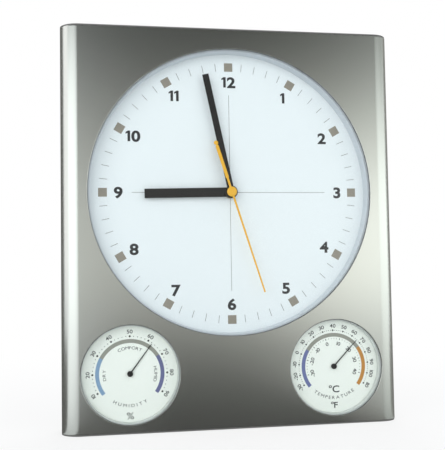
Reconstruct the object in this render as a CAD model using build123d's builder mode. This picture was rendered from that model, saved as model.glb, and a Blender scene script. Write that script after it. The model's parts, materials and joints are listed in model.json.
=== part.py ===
"""Wall clock in a bent aluminium front with a dial thermometer and a dial hygrometer.

The clock stands on its lower end: x runs to the right as seen from the front, y from the
front to the wall, z up. The origin is the middle of the foot of the case. Every depth is
measured back from the front face, and every layer of the case is placed by its depth.
"""

import os
from math import cos, radians, sin

from build123d import *

# Openings of the front and the margins round them, which set the size of the case
clock_opening_radius = 128.5
gauge_opening_radius = 43.0
side_margin = 22.5
top_margin = 18.0
gauge_side_margin = 15.6
gauge_foot_margin = 7.3
gauge_tuck = 12.3

# Sides of the small rounds out of sight: pins, screws, bosses and their holes
small_round_sides = 12

# Case and its bent front sheet
case_depth = 40.0
sheet_thickness = 1.0
bend_radius = 16.0
lip_width = 6.0
lip_bend_radius = 3.0
end_cap_thickness = 1.2
end_plug_height = 2.0
end_plug_wall = 1.0
tape_gap = 0.1
slide_fit = 0.2
cut_overrun = 1.0

# Clock face and the glass sheet behind all three openings
glass_thickness = 2.0
glass_side_inset = 14.6
glass_end_inset = 6.0
dial_well = 10.9
dial_thickness = 0.8
dial_overlap = 2.0
ring_lip = 2.0
ring_overlap = 3.0
ring_draft = 0.5

# Weather gauges
gauge_well = 6.1
gauge_dial_thickness = 0.5
gauge_dial_fit = 0.1
gauge_wall = 2.2
gauge_overlap = 1.0
gauge_floor_thickness = 1.2
gauge_vent_width = 3.0
gauge_vent_length = 14.0
gauge_vent_ring_radius = 13.5
gauge_vent_count = 4
gauge_vent_first_angle = 45
lug_size = 3.0
lug_count = 3
lug_first_angle = 30

# Pointer, staff and bimetal coil of a gauge
pointer_length_share = 0.733
pointer_root_width = 1.1
pointer_tip_width = 0.5
pointer_thickness = 0.4
pointer_hub_radius = 2.5
pointer_hub_height = 1.6
pointer_clearance = 0.4
staff_radius = 0.8
collet_radius = 1.5
collet_height = 2.2
collet_gap = 0.5
pivot_length = 1.2
pivot_boss_radius = 2.4
pivot_boss_height = 0.8
coil_strip_thickness = 0.4
coil_strip_width = 1.8
coil_pitch = 2.4
coil_collet_gap = 0.4
coil_post_size = 2.0
coil_half_turns = 4
coil_steps = 8

# Tray behind the sheet, the plate inside it and their screws
tray_wall = 2.0
tray_rear_wall = 3.0
chassis_thickness = 2.2
chassis_fit = 0.4
boss_radius = 4.0
boss_edge = 11.0
screw_radius = 1.45
screw_length = 9.0
screw_head_radius = 3.2
screw_head_height = 1.6
air_opening_size = 40.0
rib_thickness = 1.6
rib_height = 4.0
rib_margin = 10.5
frame_height = 6.0
window_margin = 2.5
window_rim_depth = 7.0
vent_width = 2.4
vent_length = 26.0
vent_pitch = 8.0
vent_count = 4

# Steel keyhole plate for the wall screw
hanger_drop = 30.0
hanger_width = 30.0
hanger_height = 38.0
hanger_thickness = 1.2
keyhole_radius = 5.5
keyhole_slot_width = 5.0
keyhole_rise = 10.0
keyhole_margin = 2.5
hanger_screw_radius = 1.2
hanger_screw_length = 2.0
hanger_screw_head_radius = 2.4
hanger_screw_head_height = 1.2

# Clock hands, turned clockwise from twelve
hour_angle = 269.0
minute_angle = 348.2
second_angle = 162.4
hand_thickness = 0.6
hub_height = 1.4
hour_length_share = 0.607
hour_hand_width = 8.4
hour_hub_radius = 5.2
minute_length_share = 0.848
minute_hand_width = 5.8
minute_hub_radius = 5.7
second_length_share = 0.739
second_hand_root = 1.9
second_hand_tip = 1.4
second_hand_thickness = 0.4
tail_length_share = 0.374
tail_width = 3.0
tail_neck_width = 2.0
tail_start = 14.0
tail_pad_radius = 2.0
tail_pad_gap = 1.0
second_cap_radius = 4.5
second_cap_height = 1.4
second_cap_edge = 0.6
hub_step = 1.0
hand_gap = 0.4

# Movement case
movement_depth = 16.0
movement_wall = 1.2
movement_corner = 2.0
bushing_radius = 3.95
bushing_length = 5.7
thread_fit = 0.1
nut_flats = 9.5
nut_sides = 6
nut_thickness = 1.8
washer_radius = 5.4
washer_thickness = 0.5
bay_height = 15.5
back_fit = 0.15
post_size = 2.8
plate_post_x = 14.0
plate_post_low = 6.0
plate_post_high = 14.0

# Coaxial arbors, from the inside out
running_gap = 0.08
press_gap = 0.02
seconds_arbor_radius = 0.5
minute_pipe_radius = 1.7
hour_pipe_radius = 2.55
arbor_radius = 0.4
pivot_gap = 0.05
minute_post_radius = 0.6

# Gear train: centre distances fix the tooth sizes
third_distance = 10.2
step_distance = 10.4
rotor_distance = 7.2
minute_distance = 8.4
third_direction = 150.0
step_direction = 30.0
rotor_direction = 60.0
minute_direction = 90.0
knob_direction = 90.0
rotor_pinion_teeth = 6
step_wheel_teeth = 30
step_pinion_teeth = 6
seconds_wheel_teeth = 36
seconds_pinion_teeth = 6
third_wheel_teeth = 45
third_pinion_teeth = 6
centre_wheel_teeth = 48
centre_pinion_teeth = 10
minute_wheel_teeth = 30
minute_pinion_teeth = 8
hour_wheel_teeth = 32
knob_pinion_teeth = 10
addendum_share = 0.72
dedendum_share = 1.02
tip_width_share = 0.24
root_width_share = 0.52
wheel_thickness = 0.8
layer_pitch = 1.4
first_layer_gap = 0.6
mesh_margin = 0.15
train_plate_thickness = 1.2
train_plate_gap = 0.4
front_pivot_length = 0.8
rear_pivot_length = 0.8

# Step motor, electronics and hand-setting knob
magnet_radius = 3.0
magnet_thickness = 2.6
stator_air_gap = 0.35
stator_thickness = 0.8
stator_bar_width = 5.0
stator_eye_wall = 1.3
stator_arm_width = 3.0
stator_boss_size = 2.2
coil_low_z = -5.2
coil_high_z = 18.2
bobbin_size = 7.2
bobbin_flange_thickness = 0.8
winding_size = 6.6
bobbin_tube_size = 3.6
core_width = 2.2
core_thickness = 0.8
core_fit = 0.1
board_width = 21.2
board_height = 10.4
board_thickness = 0.8
board_inset = 0.6
chip_radius = 2.4
chip_height = 1.0
chip_edge = 0.5
crystal_radius = 1.0
crystal_length = 6.0
knob_radius = 4.5
knob_height = 2.8
knob_clearance = 0.6
knob_stem_radius = 1.2
knob_stub_radius = 0.8
knob_grips = 6
knob_grip_radius = 1.2
knob_boss_radius = 1.8
knob_boss_height = 1.0

# Battery and its contacts
battery_radius = 7.15
battery_body_length = 49.0
battery_nub_radius = 2.75
battery_nub_length = 1.4
battery_edge = 0.6
contact_thickness = 0.4
contact_width = 8.0
contact_height = 12.0
leaf_half_height = 5.0
leaf_bow = 2.8

# Sizes of the case and places of the dials
case_width = 2 * (clock_opening_radius + side_margin)
clock_z = gauge_foot_margin + 2 * gauge_opening_radius - gauge_tuck + clock_opening_radius
case_height = clock_z + clock_opening_radius + top_margin
case_middle = case_height / 2
gauge_x = case_width / 2 - gauge_side_margin - gauge_opening_radius
gauge_z = gauge_foot_margin + gauge_opening_radius
gauge_shell_radius = gauge_opening_radius + gauge_overlap
ring_inner_radius = clock_opening_radius - ring_lip
ring_outer_radius = clock_opening_radius + ring_overlap
dial_radius = clock_opening_radius + dial_overlap
rib_reach = clock_opening_radius - rib_margin

# Widths that follow the battery, which lies across the movement
battery_room = battery_body_length + battery_nub_length + contact_thickness + leaf_bow
movement_size = battery_room + 2 * movement_wall
window_size = movement_size + 2 * window_margin
coil_axis_x = movement_size / 2 - movement_wall - board_inset - bobbin_size / 2

# Lengths of hands and pointers
hour_hand_length = hour_length_share * clock_opening_radius
minute_hand_length = minute_length_share * clock_opening_radius
second_hand_length = second_length_share * clock_opening_radius
tail_length = tail_length_share * clock_opening_radius
tail_end = tail_length - 2 * tail_pad_radius - tail_pad_gap
pointer_length = pointer_length_share * gauge_opening_radius

# Depths behind the front face
glass_front = sheet_thickness + tape_gap
glass_rear = glass_front + glass_thickness
dial_front = glass_rear + dial_well
dial_rear = dial_front + dial_thickness
chassis_rear = dial_rear + chassis_thickness
movement_rear = chassis_rear + movement_depth
movement_inside = chassis_rear + movement_wall
back_front = movement_rear - movement_wall
hour_layer = movement_inside + first_layer_gap
minute_layer = hour_layer + layer_pitch
plate_front = minute_layer + layer_pitch
plate_rear = plate_front + train_plate_thickness
centre_layer = plate_rear + train_plate_gap
third_layer = centre_layer + layer_pitch
seconds_layer = third_layer + layer_pitch
step_layer = seconds_layer + layer_pitch
rear_pivot_end = back_front + rear_pivot_length
tray_floor = case_depth - tray_rear_wall
tray_rim = chassis_rear
gauge_dial_front = glass_rear + gauge_well
gauge_dial_rear = gauge_dial_front + gauge_dial_thickness
gauge_rear = dial_rear
gauge_floor = gauge_rear - gauge_floor_thickness

# Stack of hands, from the bushing forwards
bushing_front = chassis_rear - bushing_length
hour_hub_rear = bushing_front - hand_gap
hour_hub_front = hour_hub_rear - hub_height
minute_hub_rear = hour_hub_front - hub_step
minute_hub_front = minute_hub_rear - hub_height
second_cap_rear = minute_hub_front - 2 * hub_step
second_cap_front = second_cap_rear - second_cap_height
second_hand_rear = second_cap_rear - second_cap_edge + second_hand_thickness

# Widths that follow the case
tray_width = case_width - 2 * (sheet_thickness + slide_fit)
tray_height = case_height - 2 * (end_cap_thickness + tape_gap)
boss_places = [
    (side * (case_width / 2 - boss_edge), height)
    for side in (-1, 1)
    for height in (boss_edge, case_height - boss_edge)
]
gauge_places = {
    "hygrometer": (-gauge_x, gauge_z, 36.9),
    "thermometer": (gauge_x, gauge_z, 43.9),
}
hanger_z = case_height - hanger_drop


def layer(depth, x=0, z=0, turn=0):
    """Plane facing the front at a depth, with its own x to the right unless turned."""
    right = (cos(radians(turn)), 0, sin(radians(turn)))
    return Plane(origin=(x, depth - case_depth / 2, z), x_dir=right, z_dir=(0, -1, 0))


def section(x, z):
    """Plane through an axis that runs front to back: radius along x, depth along y."""
    return Plane(origin=(x, -case_depth / 2, z), x_dir=(1, 0, 0), z_dir=(0, 0, 1))


def across(x, depth, z):
    """Plane square to the width of the case."""
    return Plane(origin=(x, depth - case_depth / 2, z), x_dir=(0, 1, 0), z_dir=(1, 0, 0))


def upright(x, depth, z):
    """Plane square to the height of the case."""
    return Plane(origin=(x, depth - case_depth / 2, z), x_dir=(1, 0, 0), z_dir=(0, 0, 1))


def depth_axis(x, z):
    """Axis through a point, running from the front to the back."""
    return Axis((x, 0, z), (0, 1, 0))


def save(piece, name):
    """Name a finished piece and write it."""
    piece.part.label = name
    export_step(piece.part, f"parts/{name}.step")


def case_outline(inset):
    """Plan of the case: wide bends at the front edges, tight ones at the rear lips."""
    with BuildSketch(mode=Mode.PRIVATE) as outline:
        Rectangle(case_width - 2 * inset, case_depth - 2 * inset)
        fillet(outline.vertices().group_by(Axis.Y)[0], bend_radius - inset)
        fillet(outline.vertices().group_by(Axis.Y)[-1], lip_bend_radius - inset)
    return outline.sketch


def round_bar(radius):
    """Outline of a small round bar, many-sided and inside its circle."""
    RegularPolygon(radius, small_round_sides)


def round_hole(radius, mode=Mode.ADD):
    """Outline of a small round hole, many-sided and outside its circle."""
    RegularPolygon(radius, small_round_sides, major_radius=False, mode=mode)


def beside(place, distance, direction):
    """Point at a distance from another, by its direction seen from the front."""
    x, z = place
    return (x + distance * cos(radians(direction)), z + distance * sin(radians(direction)))


def meshing_turn(turn, teeth, direction, other_teeth):
    """Turn of a wheel whose gap meets the tooth of the wheel that drives it."""
    return (
        direction
        + 180
        - 180 / other_teeth
        + (direction - turn) * teeth / other_teeth
    )


def toothed_face(teeth, pitch_radius, turn):
    """Wheel outline with straight-flanked stub teeth that leave backlash."""
    module = 2 * pitch_radius / teeth
    pitch_angle = 360 / teeth
    root = pitch_radius - dedendum_share * module
    tip = pitch_radius + addendum_share * module
    flanks = (
        (root, -root_width_share),
        (tip, -tip_width_share),
        (tip, tip_width_share),
        (root, root_width_share),
    )
    corners = []
    for tooth in range(teeth):
        middle = turn + tooth * pitch_angle
        for radius, share in flanks:
            angle = radians(middle + share * pitch_angle / 2)
            corners.append((radius * cos(angle), radius * sin(angle)))
    with BuildLine() as outline:
        Polyline(*corners, close=True)
    make_face(outline.edges())


def pitch_radii(distance, teeth, other_teeth):
    """Pitch radii of two meshing wheels on a given centre distance."""
    return (
        distance * teeth / (teeth + other_teeth),
        distance * other_teeth / (teeth + other_teeth),
    )


os.makedirs("parts", exist_ok=True)

# Front sheet: a channel with rolled front edges, rear lips and three round openings
with BuildPart() as front_panel:
    with BuildSketch(Plane.XY.offset(end_cap_thickness)):
        add(case_outline(0))
        add(case_outline(sheet_thickness), mode=Mode.SUBTRACT)
        with Locations((0, case_depth / 2)):
            Rectangle(case_width - 2 * lip_width, case_depth / 2, mode=Mode.SUBTRACT)
    extrude(amount=case_height - 2 * end_cap_thickness)
    with BuildSketch(layer(-cut_overrun)):
        with Locations((0, clock_z)):
            Circle(clock_opening_radius)
        with Locations((-gauge_x, gauge_z), (gauge_x, gauge_z)):
            Circle(gauge_opening_radius)
    extrude(amount=-sheet_thickness - 2 * cut_overrun, mode=Mode.SUBTRACT)
save(front_panel, "front_panel")

# End caps: flush covers with a plug rim that fits inside the front of the channel
plug_inset = sheet_thickness + slide_fit
plug_reach = dial_front
top_cap_z = case_height - end_cap_thickness
for cap_name, cap_z, plug_z in (
    ("bottom_end_cap", 0, end_cap_thickness),
    ("top_end_cap", top_cap_z, top_cap_z - end_plug_height),
):
    with BuildPart() as end_cap:
        with BuildSketch(Plane.XY.offset(cap_z)):
            add(case_outline(0))
        extrude(amount=end_cap_thickness)
        with BuildSketch(Plane.XY.offset(plug_z)):
            add(case_outline(plug_inset))
            add(case_outline(plug_inset + end_plug_wall), mode=Mode.SUBTRACT)
            with Locations((0, plug_reach)):
                Rectangle(case_width, case_depth, mode=Mode.SUBTRACT)
        extrude(amount=end_plug_height)
    save(end_cap, cap_name)

# Glass: one flat sheet that fills the flat of the front between the bends
with BuildPart() as front_glass:
    with BuildSketch(layer(glass_rear, 0, case_middle)):
        Rectangle(case_width - 2 * glass_side_inset, case_height - 2 * glass_end_inset)
    extrude(amount=glass_thickness)
save(front_glass, "front_glass")

# Dial ring: the tapered wall between the glass and the dial
with BuildPart() as dial_ring:
    with BuildSketch(section(0, clock_z)):
        with BuildLine():
            Polyline(
                (ring_inner_radius + ring_draft, glass_rear),
                (ring_outer_radius, glass_rear),
                (ring_outer_radius, dial_front),
                (ring_inner_radius, dial_front),
                close=True,
            )
        make_face()
    revolve(axis=depth_axis(0, clock_z))
save(dial_ring, "dial_ring")

# Dial disc with the hole for the movement's bushing
with BuildPart() as dial:
    with BuildSketch(layer(dial_rear, 0, clock_z)):
        Circle(dial_radius)
        Circle(bushing_radius + thread_fit, mode=Mode.SUBTRACT)
    extrude(amount=dial_thickness)
save(dial, "dial")

# Chassis plate: carries dial, movement and both gauges, with an air opening behind each gauge
movement_half = movement_size / 2
frame_half = movement_half + slide_fit
with BuildPart() as chassis:
    with BuildSketch(layer(chassis_rear, 0, case_middle)):
        Rectangle(tray_width - 2 * chassis_fit, tray_height - 2 * chassis_fit)
    extrude(amount=chassis_thickness)
    with BuildSketch(layer(chassis_rear, 0, clock_z)):
        for diagonal in (45, 135):
            Rectangle(2 * rib_reach, rib_thickness, rotation=diagonal)
        Rectangle(2 * (frame_half + rib_thickness), 2 * (frame_half + rib_thickness))
    extrude(amount=-rib_height)
    with BuildSketch(layer(chassis_rear, 0, clock_z)):
        Rectangle(2 * (frame_half + rib_thickness), 2 * (frame_half + rib_thickness))
    extrude(amount=-frame_height)
    with BuildSketch(layer(chassis_rear, 0, clock_z)):
        Rectangle(2 * frame_half, 2 * frame_half)
    extrude(amount=-frame_height, mode=Mode.SUBTRACT)
    with BuildSketch(layer(chassis_rear + cut_overrun)):
        with Locations((-gauge_x, gauge_z), (gauge_x, gauge_z)):
            Rectangle(air_opening_size, air_opening_size)
        with Locations((0, clock_z)):
            Circle(bushing_radius + thread_fit)
        with Locations(*boss_places):
            round_hole(screw_radius + thread_fit)
    extrude(amount=chassis_thickness + 2 * cut_overrun, mode=Mode.SUBTRACT)
save(chassis, "chassis")

# Rear tray: screw bosses, movement window, gauge vents and a recess for the wall screw
window_outer = window_size + 2 * rib_thickness
recess_width = 2 * (keyhole_radius + keyhole_margin)
recess_depth = cut_overrun + case_depth - tray_floor + window_rim_depth
lip_seat = lip_width + slide_fit
lip_seat_x = (case_width - lip_seat) / 2
hanger_screw_z = hanger_z + keyhole_rise / 2
hanger_screw_x = hanger_width / 2 - hanger_screw_head_radius - thread_fit
hanger_screw_places = [(-hanger_screw_x, hanger_screw_z), (hanger_screw_x, hanger_screw_z)]
with BuildPart() as rear_housing:
    with BuildSketch(layer(case_depth, 0, case_middle)):
        Rectangle(tray_width, tray_height)
    extrude(amount=case_depth - tray_rim)
    with BuildSketch(layer(tray_floor, 0, case_middle)):
        Rectangle(tray_width - 2 * tray_wall, tray_height - 2 * tray_wall)
    extrude(amount=tray_floor - tray_rim, mode=Mode.SUBTRACT)
    with BuildSketch(layer(tray_floor)):
        with Locations(*boss_places):
            round_bar(boss_radius)
    extrude(amount=tray_floor - tray_rim)
    with BuildSketch(layer(tray_floor, 0, clock_z)):
        Rectangle(window_outer, window_outer)
    extrude(amount=window_rim_depth)
    with BuildSketch(layer(case_depth + cut_overrun, 0, case_middle)):
        with Locations((-lip_seat_x, 0), (lip_seat_x, 0)):
            Rectangle(lip_seat, case_height)
    extrude(amount=cut_overrun + sheet_thickness + tape_gap, mode=Mode.SUBTRACT)
    side_faces = rear_housing.faces().filter_by(Axis.X).sort_by(Axis.X)
    rear_corners = [
        side_face.edges().filter_by(Axis.Z).sort_by(Axis.Y)[-1]
        for side_face in (side_faces[0], side_faces[-1])
    ]
    chamfer(rear_corners, lip_bend_radius - sheet_thickness)
    with BuildSketch(layer(case_depth + cut_overrun)):
        with Locations((0, clock_z)):
            Rectangle(window_size, window_size)
        for gauge_side in (-1, 1):
            with Locations((gauge_side * gauge_x, gauge_z)):
                with GridLocations(vent_pitch, 0, vent_count, 1):
                    Rectangle(vent_width, vent_length)
        with Locations((0, hanger_screw_z)):
            Rectangle(recess_width, recess_width + keyhole_rise)
    extrude(amount=recess_depth, mode=Mode.SUBTRACT)
    with BuildSketch(layer(tray_rim)):
        with Locations(*boss_places):
            round_hole(screw_radius + thread_fit)
    extrude(amount=-screw_length, mode=Mode.SUBTRACT)
    with BuildSketch(layer(tray_floor)):
        with Locations(*hanger_screw_places):
            round_hole(hanger_screw_radius + thread_fit)
    extrude(amount=-hanger_screw_length, mode=Mode.SUBTRACT)
save(rear_housing, "rear_housing")

# Screws through the chassis into the tray's bosses
with BuildPart() as chassis_screws:
    with BuildSketch(layer(dial_rear)):
        with Locations(*boss_places):
            round_bar(screw_head_radius)
    extrude(amount=screw_head_height)
    with BuildSketch(layer(dial_rear)):
        with Locations(*boss_places):
            round_bar(screw_radius)
    extrude(amount=-screw_length)
save(chassis_screws, "chassis_screws")

# Steel keyhole plate on the inside of the tray
with BuildPart() as hanger_plate:
    with BuildSketch(layer(tray_floor, 0, hanger_screw_z)):
        Rectangle(hanger_width, hanger_height)
    extrude(amount=hanger_thickness)
    with BuildSketch(layer(tray_floor + cut_overrun)):
        with Locations((0, hanger_z)):
            Circle(keyhole_radius)
        with Locations((0, hanger_z + keyhole_rise / 2)):
            Rectangle(keyhole_slot_width, keyhole_rise)
        with Locations((0, hanger_z + keyhole_rise)):
            Circle(keyhole_slot_width / 2)
        with Locations(*hanger_screw_places):
            round_hole(hanger_screw_radius + thread_fit)
    extrude(amount=hanger_thickness + 2 * cut_overrun, mode=Mode.SUBTRACT)
save(hanger_plate, "hanger_plate")

with BuildPart() as hanger_screws:
    with BuildSketch(layer(tray_floor - hanger_thickness)):
        with Locations(*hanger_screw_places):
            round_bar(hanger_screw_head_radius)
    extrude(amount=hanger_screw_head_height)
    with BuildSketch(layer(tray_floor - hanger_thickness)):
        with Locations(*hanger_screw_places):
            round_bar(hanger_screw_radius)
    extrude(amount=-hanger_screw_length - hanger_thickness)
save(hanger_screws, "hanger_screws")

# Centres of the arbors, seen from the front
centre = (0, clock_z)
third_place = beside(centre, third_distance, third_direction)
step_place = beside(centre, step_distance, step_direction)
rotor_place = beside(step_place, rotor_distance, rotor_direction)
minute_place = beside(centre, minute_distance, minute_direction)
knob_place = beside(minute_place, minute_distance, knob_direction)

# Pitch radii of the meshing pairs
rotor_pinion_radius, step_wheel_radius = pitch_radii(
    rotor_distance, rotor_pinion_teeth, step_wheel_teeth
)
step_pinion_radius, seconds_wheel_radius = pitch_radii(
    step_distance, step_pinion_teeth, seconds_wheel_teeth
)
seconds_pinion_radius, third_wheel_radius = pitch_radii(
    third_distance, seconds_pinion_teeth, third_wheel_teeth
)
third_pinion_radius, centre_wheel_radius = pitch_radii(
    third_distance, third_pinion_teeth, centre_wheel_teeth
)
centre_pinion_radius, minute_wheel_radius = pitch_radii(
    minute_distance, centre_pinion_teeth, minute_wheel_teeth
)
minute_pinion_radius, hour_wheel_radius = pitch_radii(
    minute_distance, minute_pinion_teeth, hour_wheel_teeth
)

# Turns that bring each pair into mesh
step_pinion_turn = meshing_turn(0, seconds_wheel_teeth, step_direction, step_pinion_teeth)
rotor_pinion_turn = meshing_turn(0, step_wheel_teeth, rotor_direction, rotor_pinion_teeth)
third_wheel_turn = meshing_turn(0, seconds_pinion_teeth, third_direction, third_wheel_teeth)
third_pinion_turn = meshing_turn(0, centre_wheel_teeth, third_direction, third_pinion_teeth)
minute_wheel_turn = meshing_turn(0, centre_pinion_teeth, minute_direction, minute_wheel_teeth)
minute_pinion_turn = meshing_turn(0, hour_wheel_teeth, minute_direction, minute_pinion_teeth)
knob_pinion_turn = meshing_turn(
    minute_wheel_turn, minute_wheel_teeth, knob_direction, knob_pinion_teeth
)

# Movement case: front wall, side walls, battery partition, bushing and posts
partition_top = clock_z - movement_half + movement_wall + bay_height + movement_wall
partition_z = partition_top - movement_wall / 2
plate_posts = [
    (side * plate_post_x, clock_z + height)
    for side in (-1, 1)
    for height in (-plate_post_low, plate_post_high)
]
board_left = -movement_half + movement_wall + board_inset
board_top = clock_z + movement_half - movement_wall - board_inset
board_rear = third_layer + board_thickness / 2
board_front = board_rear - board_thickness
board_posts = [
    (board_left + post_size, board_top - post_size),
    (board_left + board_width - post_size, board_top - post_size),
]
with BuildPart() as movement_case:
    with BuildSketch(layer(movement_rear, 0, clock_z)):
        RectangleRounded(movement_size, movement_size, movement_corner)
    extrude(amount=movement_depth)
    with BuildSketch(layer(movement_rear, 0, clock_z)):
        Rectangle(movement_size - 2 * movement_wall, movement_size - 2 * movement_wall)
    extrude(amount=movement_depth - movement_wall, mode=Mode.SUBTRACT)
    with BuildSketch(layer(back_front, 0, partition_z)):
        Rectangle(movement_size - movement_wall, movement_wall)
    extrude(amount=back_front - movement_inside)
    with BuildSketch(layer(plate_front)):
        with Locations(*plate_posts):
            Rectangle(post_size, post_size)
    extrude(amount=plate_front - movement_inside)
    with BuildSketch(layer(board_front)):
        with Locations(*board_posts):
            Rectangle(post_size, post_size)
    extrude(amount=board_front - movement_inside)
    with BuildSketch(layer(plate_front - mesh_margin, *minute_place)):
        round_bar(minute_post_radius)
    extrude(amount=plate_front - mesh_margin - movement_inside)
    with BuildSketch(layer(movement_inside + knob_boss_height, *knob_place)):
        round_bar(knob_boss_radius)
    extrude(amount=knob_boss_height)
    with BuildSketch(layer(chassis_rear, 0, clock_z)):
        Circle(bushing_radius)
    extrude(amount=bushing_length)
    with BuildSketch(layer(movement_inside, 0, clock_z)):
        Circle(hour_pipe_radius + running_gap)
    extrude(amount=movement_wall + bushing_length, mode=Mode.SUBTRACT)
    with BuildSketch(layer(movement_inside + knob_boss_height, *knob_place)):
        round_hole(knob_stub_radius + pivot_gap)
    extrude(amount=knob_boss_height + movement_wall / 2, mode=Mode.SUBTRACT)
save(movement_case, "movement_case")

# Washer and nut that clamp the movement to the dial
with BuildPart() as shaft_washer:
    with BuildSketch(layer(dial_front, 0, clock_z)):
        Circle(washer_radius)
        Circle(bushing_radius + thread_fit, mode=Mode.SUBTRACT)
    extrude(amount=washer_thickness)
save(shaft_washer, "shaft_washer")

with BuildPart() as shaft_nut:
    with BuildSketch(layer(dial_front - washer_thickness, 0, clock_z)):
        RegularPolygon(nut_flats / 2, nut_sides, major_radius=False)
        Circle(bushing_radius + press_gap, mode=Mode.SUBTRACT)
    extrude(amount=nut_thickness)
save(shaft_nut, "shaft_nut")

# Train plate: front bearings of the going train and seats of the stator
plate_right = coil_axis_x - bobbin_size / 2 - train_plate_gap
plate_left = -plate_post_x - 2 * post_size
plate_bottom = partition_top + train_plate_gap
plate_top = clock_z + coil_high_z + stator_boss_size / 2
stator_boss_places = [
    (rotor_place[0], clock_z + coil_high_z - stator_boss_size / 4),
    (rotor_place[0], clock_z + coil_low_z),
]
with BuildPart() as train_plate:
    with BuildSketch(layer(plate_rear, 0, 0)):
        with Locations(((plate_left + plate_right) / 2, (plate_bottom + plate_top) / 2)):
            Rectangle(plate_right - plate_left, plate_top - plate_bottom)
        with Locations(centre):
            Circle(minute_pipe_radius + running_gap, mode=Mode.SUBTRACT)
        with Locations(third_place, step_place, rotor_place):
            round_hole(arbor_radius + pivot_gap, mode=Mode.SUBTRACT)
        with Locations(knob_place):
            round_hole(knob_stem_radius + running_gap, mode=Mode.SUBTRACT)
    extrude(amount=train_plate_thickness)
    with BuildSketch(layer(third_layer)):
        with Locations(*stator_boss_places):
            Rectangle(stator_boss_size, stator_boss_size)
    extrude(amount=third_layer - plate_rear)
save(train_plate, "train_plate")

# Movement back: rear bearings of the train, over the train chamber only
back_width = movement_size - 2 * (movement_wall + back_fit)
back_top = clock_z + movement_half - movement_wall - back_fit
back_bottom = partition_top - movement_wall
with BuildPart() as movement_back:
    with BuildSketch(layer(movement_rear, 0, (back_top + back_bottom) / 2)):
        Rectangle(back_width, back_top - back_bottom)
    extrude(amount=movement_wall)
    with BuildSketch(layer(rear_pivot_end + pivot_gap)):
        with Locations(centre):
            round_hole(seconds_arbor_radius + pivot_gap)
        with Locations(third_place, step_place, rotor_place):
            round_hole(arbor_radius + pivot_gap)
    extrude(amount=rear_pivot_length + pivot_gap, mode=Mode.SUBTRACT)
    with BuildSketch(layer(movement_rear + cut_overrun, *knob_place)):
        round_hole(knob_stem_radius + running_gap)
    extrude(amount=movement_wall + 2 * cut_overrun, mode=Mode.SUBTRACT)
save(movement_back, "movement_back")

# Seconds wheel on the innermost arbor
with BuildPart() as seconds_wheel:
    with BuildSketch(layer(rear_pivot_end, 0, clock_z)):
        round_bar(seconds_arbor_radius)
    extrude(amount=rear_pivot_end - second_cap_front - second_cap_edge)
    with BuildSketch(layer(seconds_layer, 0, clock_z)):
        toothed_face(seconds_pinion_teeth, seconds_pinion_radius, 0)
    extrude(amount=seconds_layer - third_layer + mesh_margin)
    with BuildSketch(layer(seconds_layer + wheel_thickness, 0, clock_z)):
        toothed_face(seconds_wheel_teeth, seconds_wheel_radius, 0)
    extrude(amount=wheel_thickness)
save(seconds_wheel, "seconds_wheel")

# Third wheel, between the seconds pinion and the centre wheel
with BuildPart() as third_wheel:
    with BuildSketch(layer(rear_pivot_end, *third_place)):
        round_bar(arbor_radius)
    extrude(amount=rear_pivot_end - plate_rear + front_pivot_length)
    with BuildSketch(layer(third_layer, *third_place)):
        toothed_face(third_pinion_teeth, third_pinion_radius, third_pinion_turn)
    extrude(amount=third_layer - centre_layer + mesh_margin)
    with BuildSketch(layer(third_layer + wheel_thickness, *third_place)):
        toothed_face(third_wheel_teeth, third_wheel_radius, third_wheel_turn)
    extrude(amount=wheel_thickness)
save(third_wheel, "third_wheel")

# Centre wheel with the pipe that carries the minute hand
with BuildPart() as center_wheel:
    with BuildSketch(layer(centre_layer + wheel_thickness, 0, clock_z)):
        toothed_face(centre_wheel_teeth, centre_wheel_radius, 0)
    extrude(amount=wheel_thickness)
    with BuildSketch(layer(centre_layer, 0, clock_z)):
        Circle(minute_pipe_radius)
    extrude(amount=centre_layer - minute_hub_front)
    with BuildSketch(layer(minute_layer + wheel_thickness + mesh_margin, 0, clock_z)):
        toothed_face(centre_pinion_teeth, centre_pinion_radius, 0)
    extrude(amount=wheel_thickness + 2 * mesh_margin)
    with BuildSketch(layer(centre_layer + wheel_thickness + cut_overrun, 0, clock_z)):
        round_hole(seconds_arbor_radius + running_gap)
    extrude(amount=centre_layer - minute_hub_front + 3 * cut_overrun, mode=Mode.SUBTRACT)
save(center_wheel, "center_wheel")

# Minute wheel on its post, driving the hour wheel
with BuildPart() as minute_wheel:
    with BuildSketch(layer(minute_layer, *minute_place)):
        toothed_face(minute_pinion_teeth, minute_pinion_radius, minute_pinion_turn)
    extrude(amount=minute_layer - hour_layer + mesh_margin)
    with BuildSketch(layer(minute_layer + wheel_thickness, *minute_place)):
        toothed_face(minute_wheel_teeth, minute_wheel_radius, minute_wheel_turn)
    extrude(amount=wheel_thickness)
    with BuildSketch(layer(minute_layer + layer_pitch, *minute_place)):
        round_hole(minute_post_radius + running_gap)
    extrude(amount=minute_layer + layer_pitch - movement_inside, mode=Mode.SUBTRACT)
save(minute_wheel, "minute_wheel")

# Hour wheel with the pipe that carries the hour hand
with BuildPart() as hour_wheel:
    with BuildSketch(layer(hour_layer + wheel_thickness, 0, clock_z)):
        toothed_face(hour_wheel_teeth, hour_wheel_radius, 0)
    extrude(amount=wheel_thickness)
    with BuildSketch(layer(hour_layer, 0, clock_z)):
        Circle(hour_pipe_radius)
    extrude(amount=hour_layer - hour_hub_front)
    with BuildSketch(layer(hour_layer + wheel_thickness + cut_overrun, 0, clock_z)):
        Circle(minute_pipe_radius + running_gap)
    extrude(amount=hour_layer - hour_hub_front + 3 * cut_overrun, mode=Mode.SUBTRACT)
save(hour_wheel, "hour_wheel")

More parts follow.
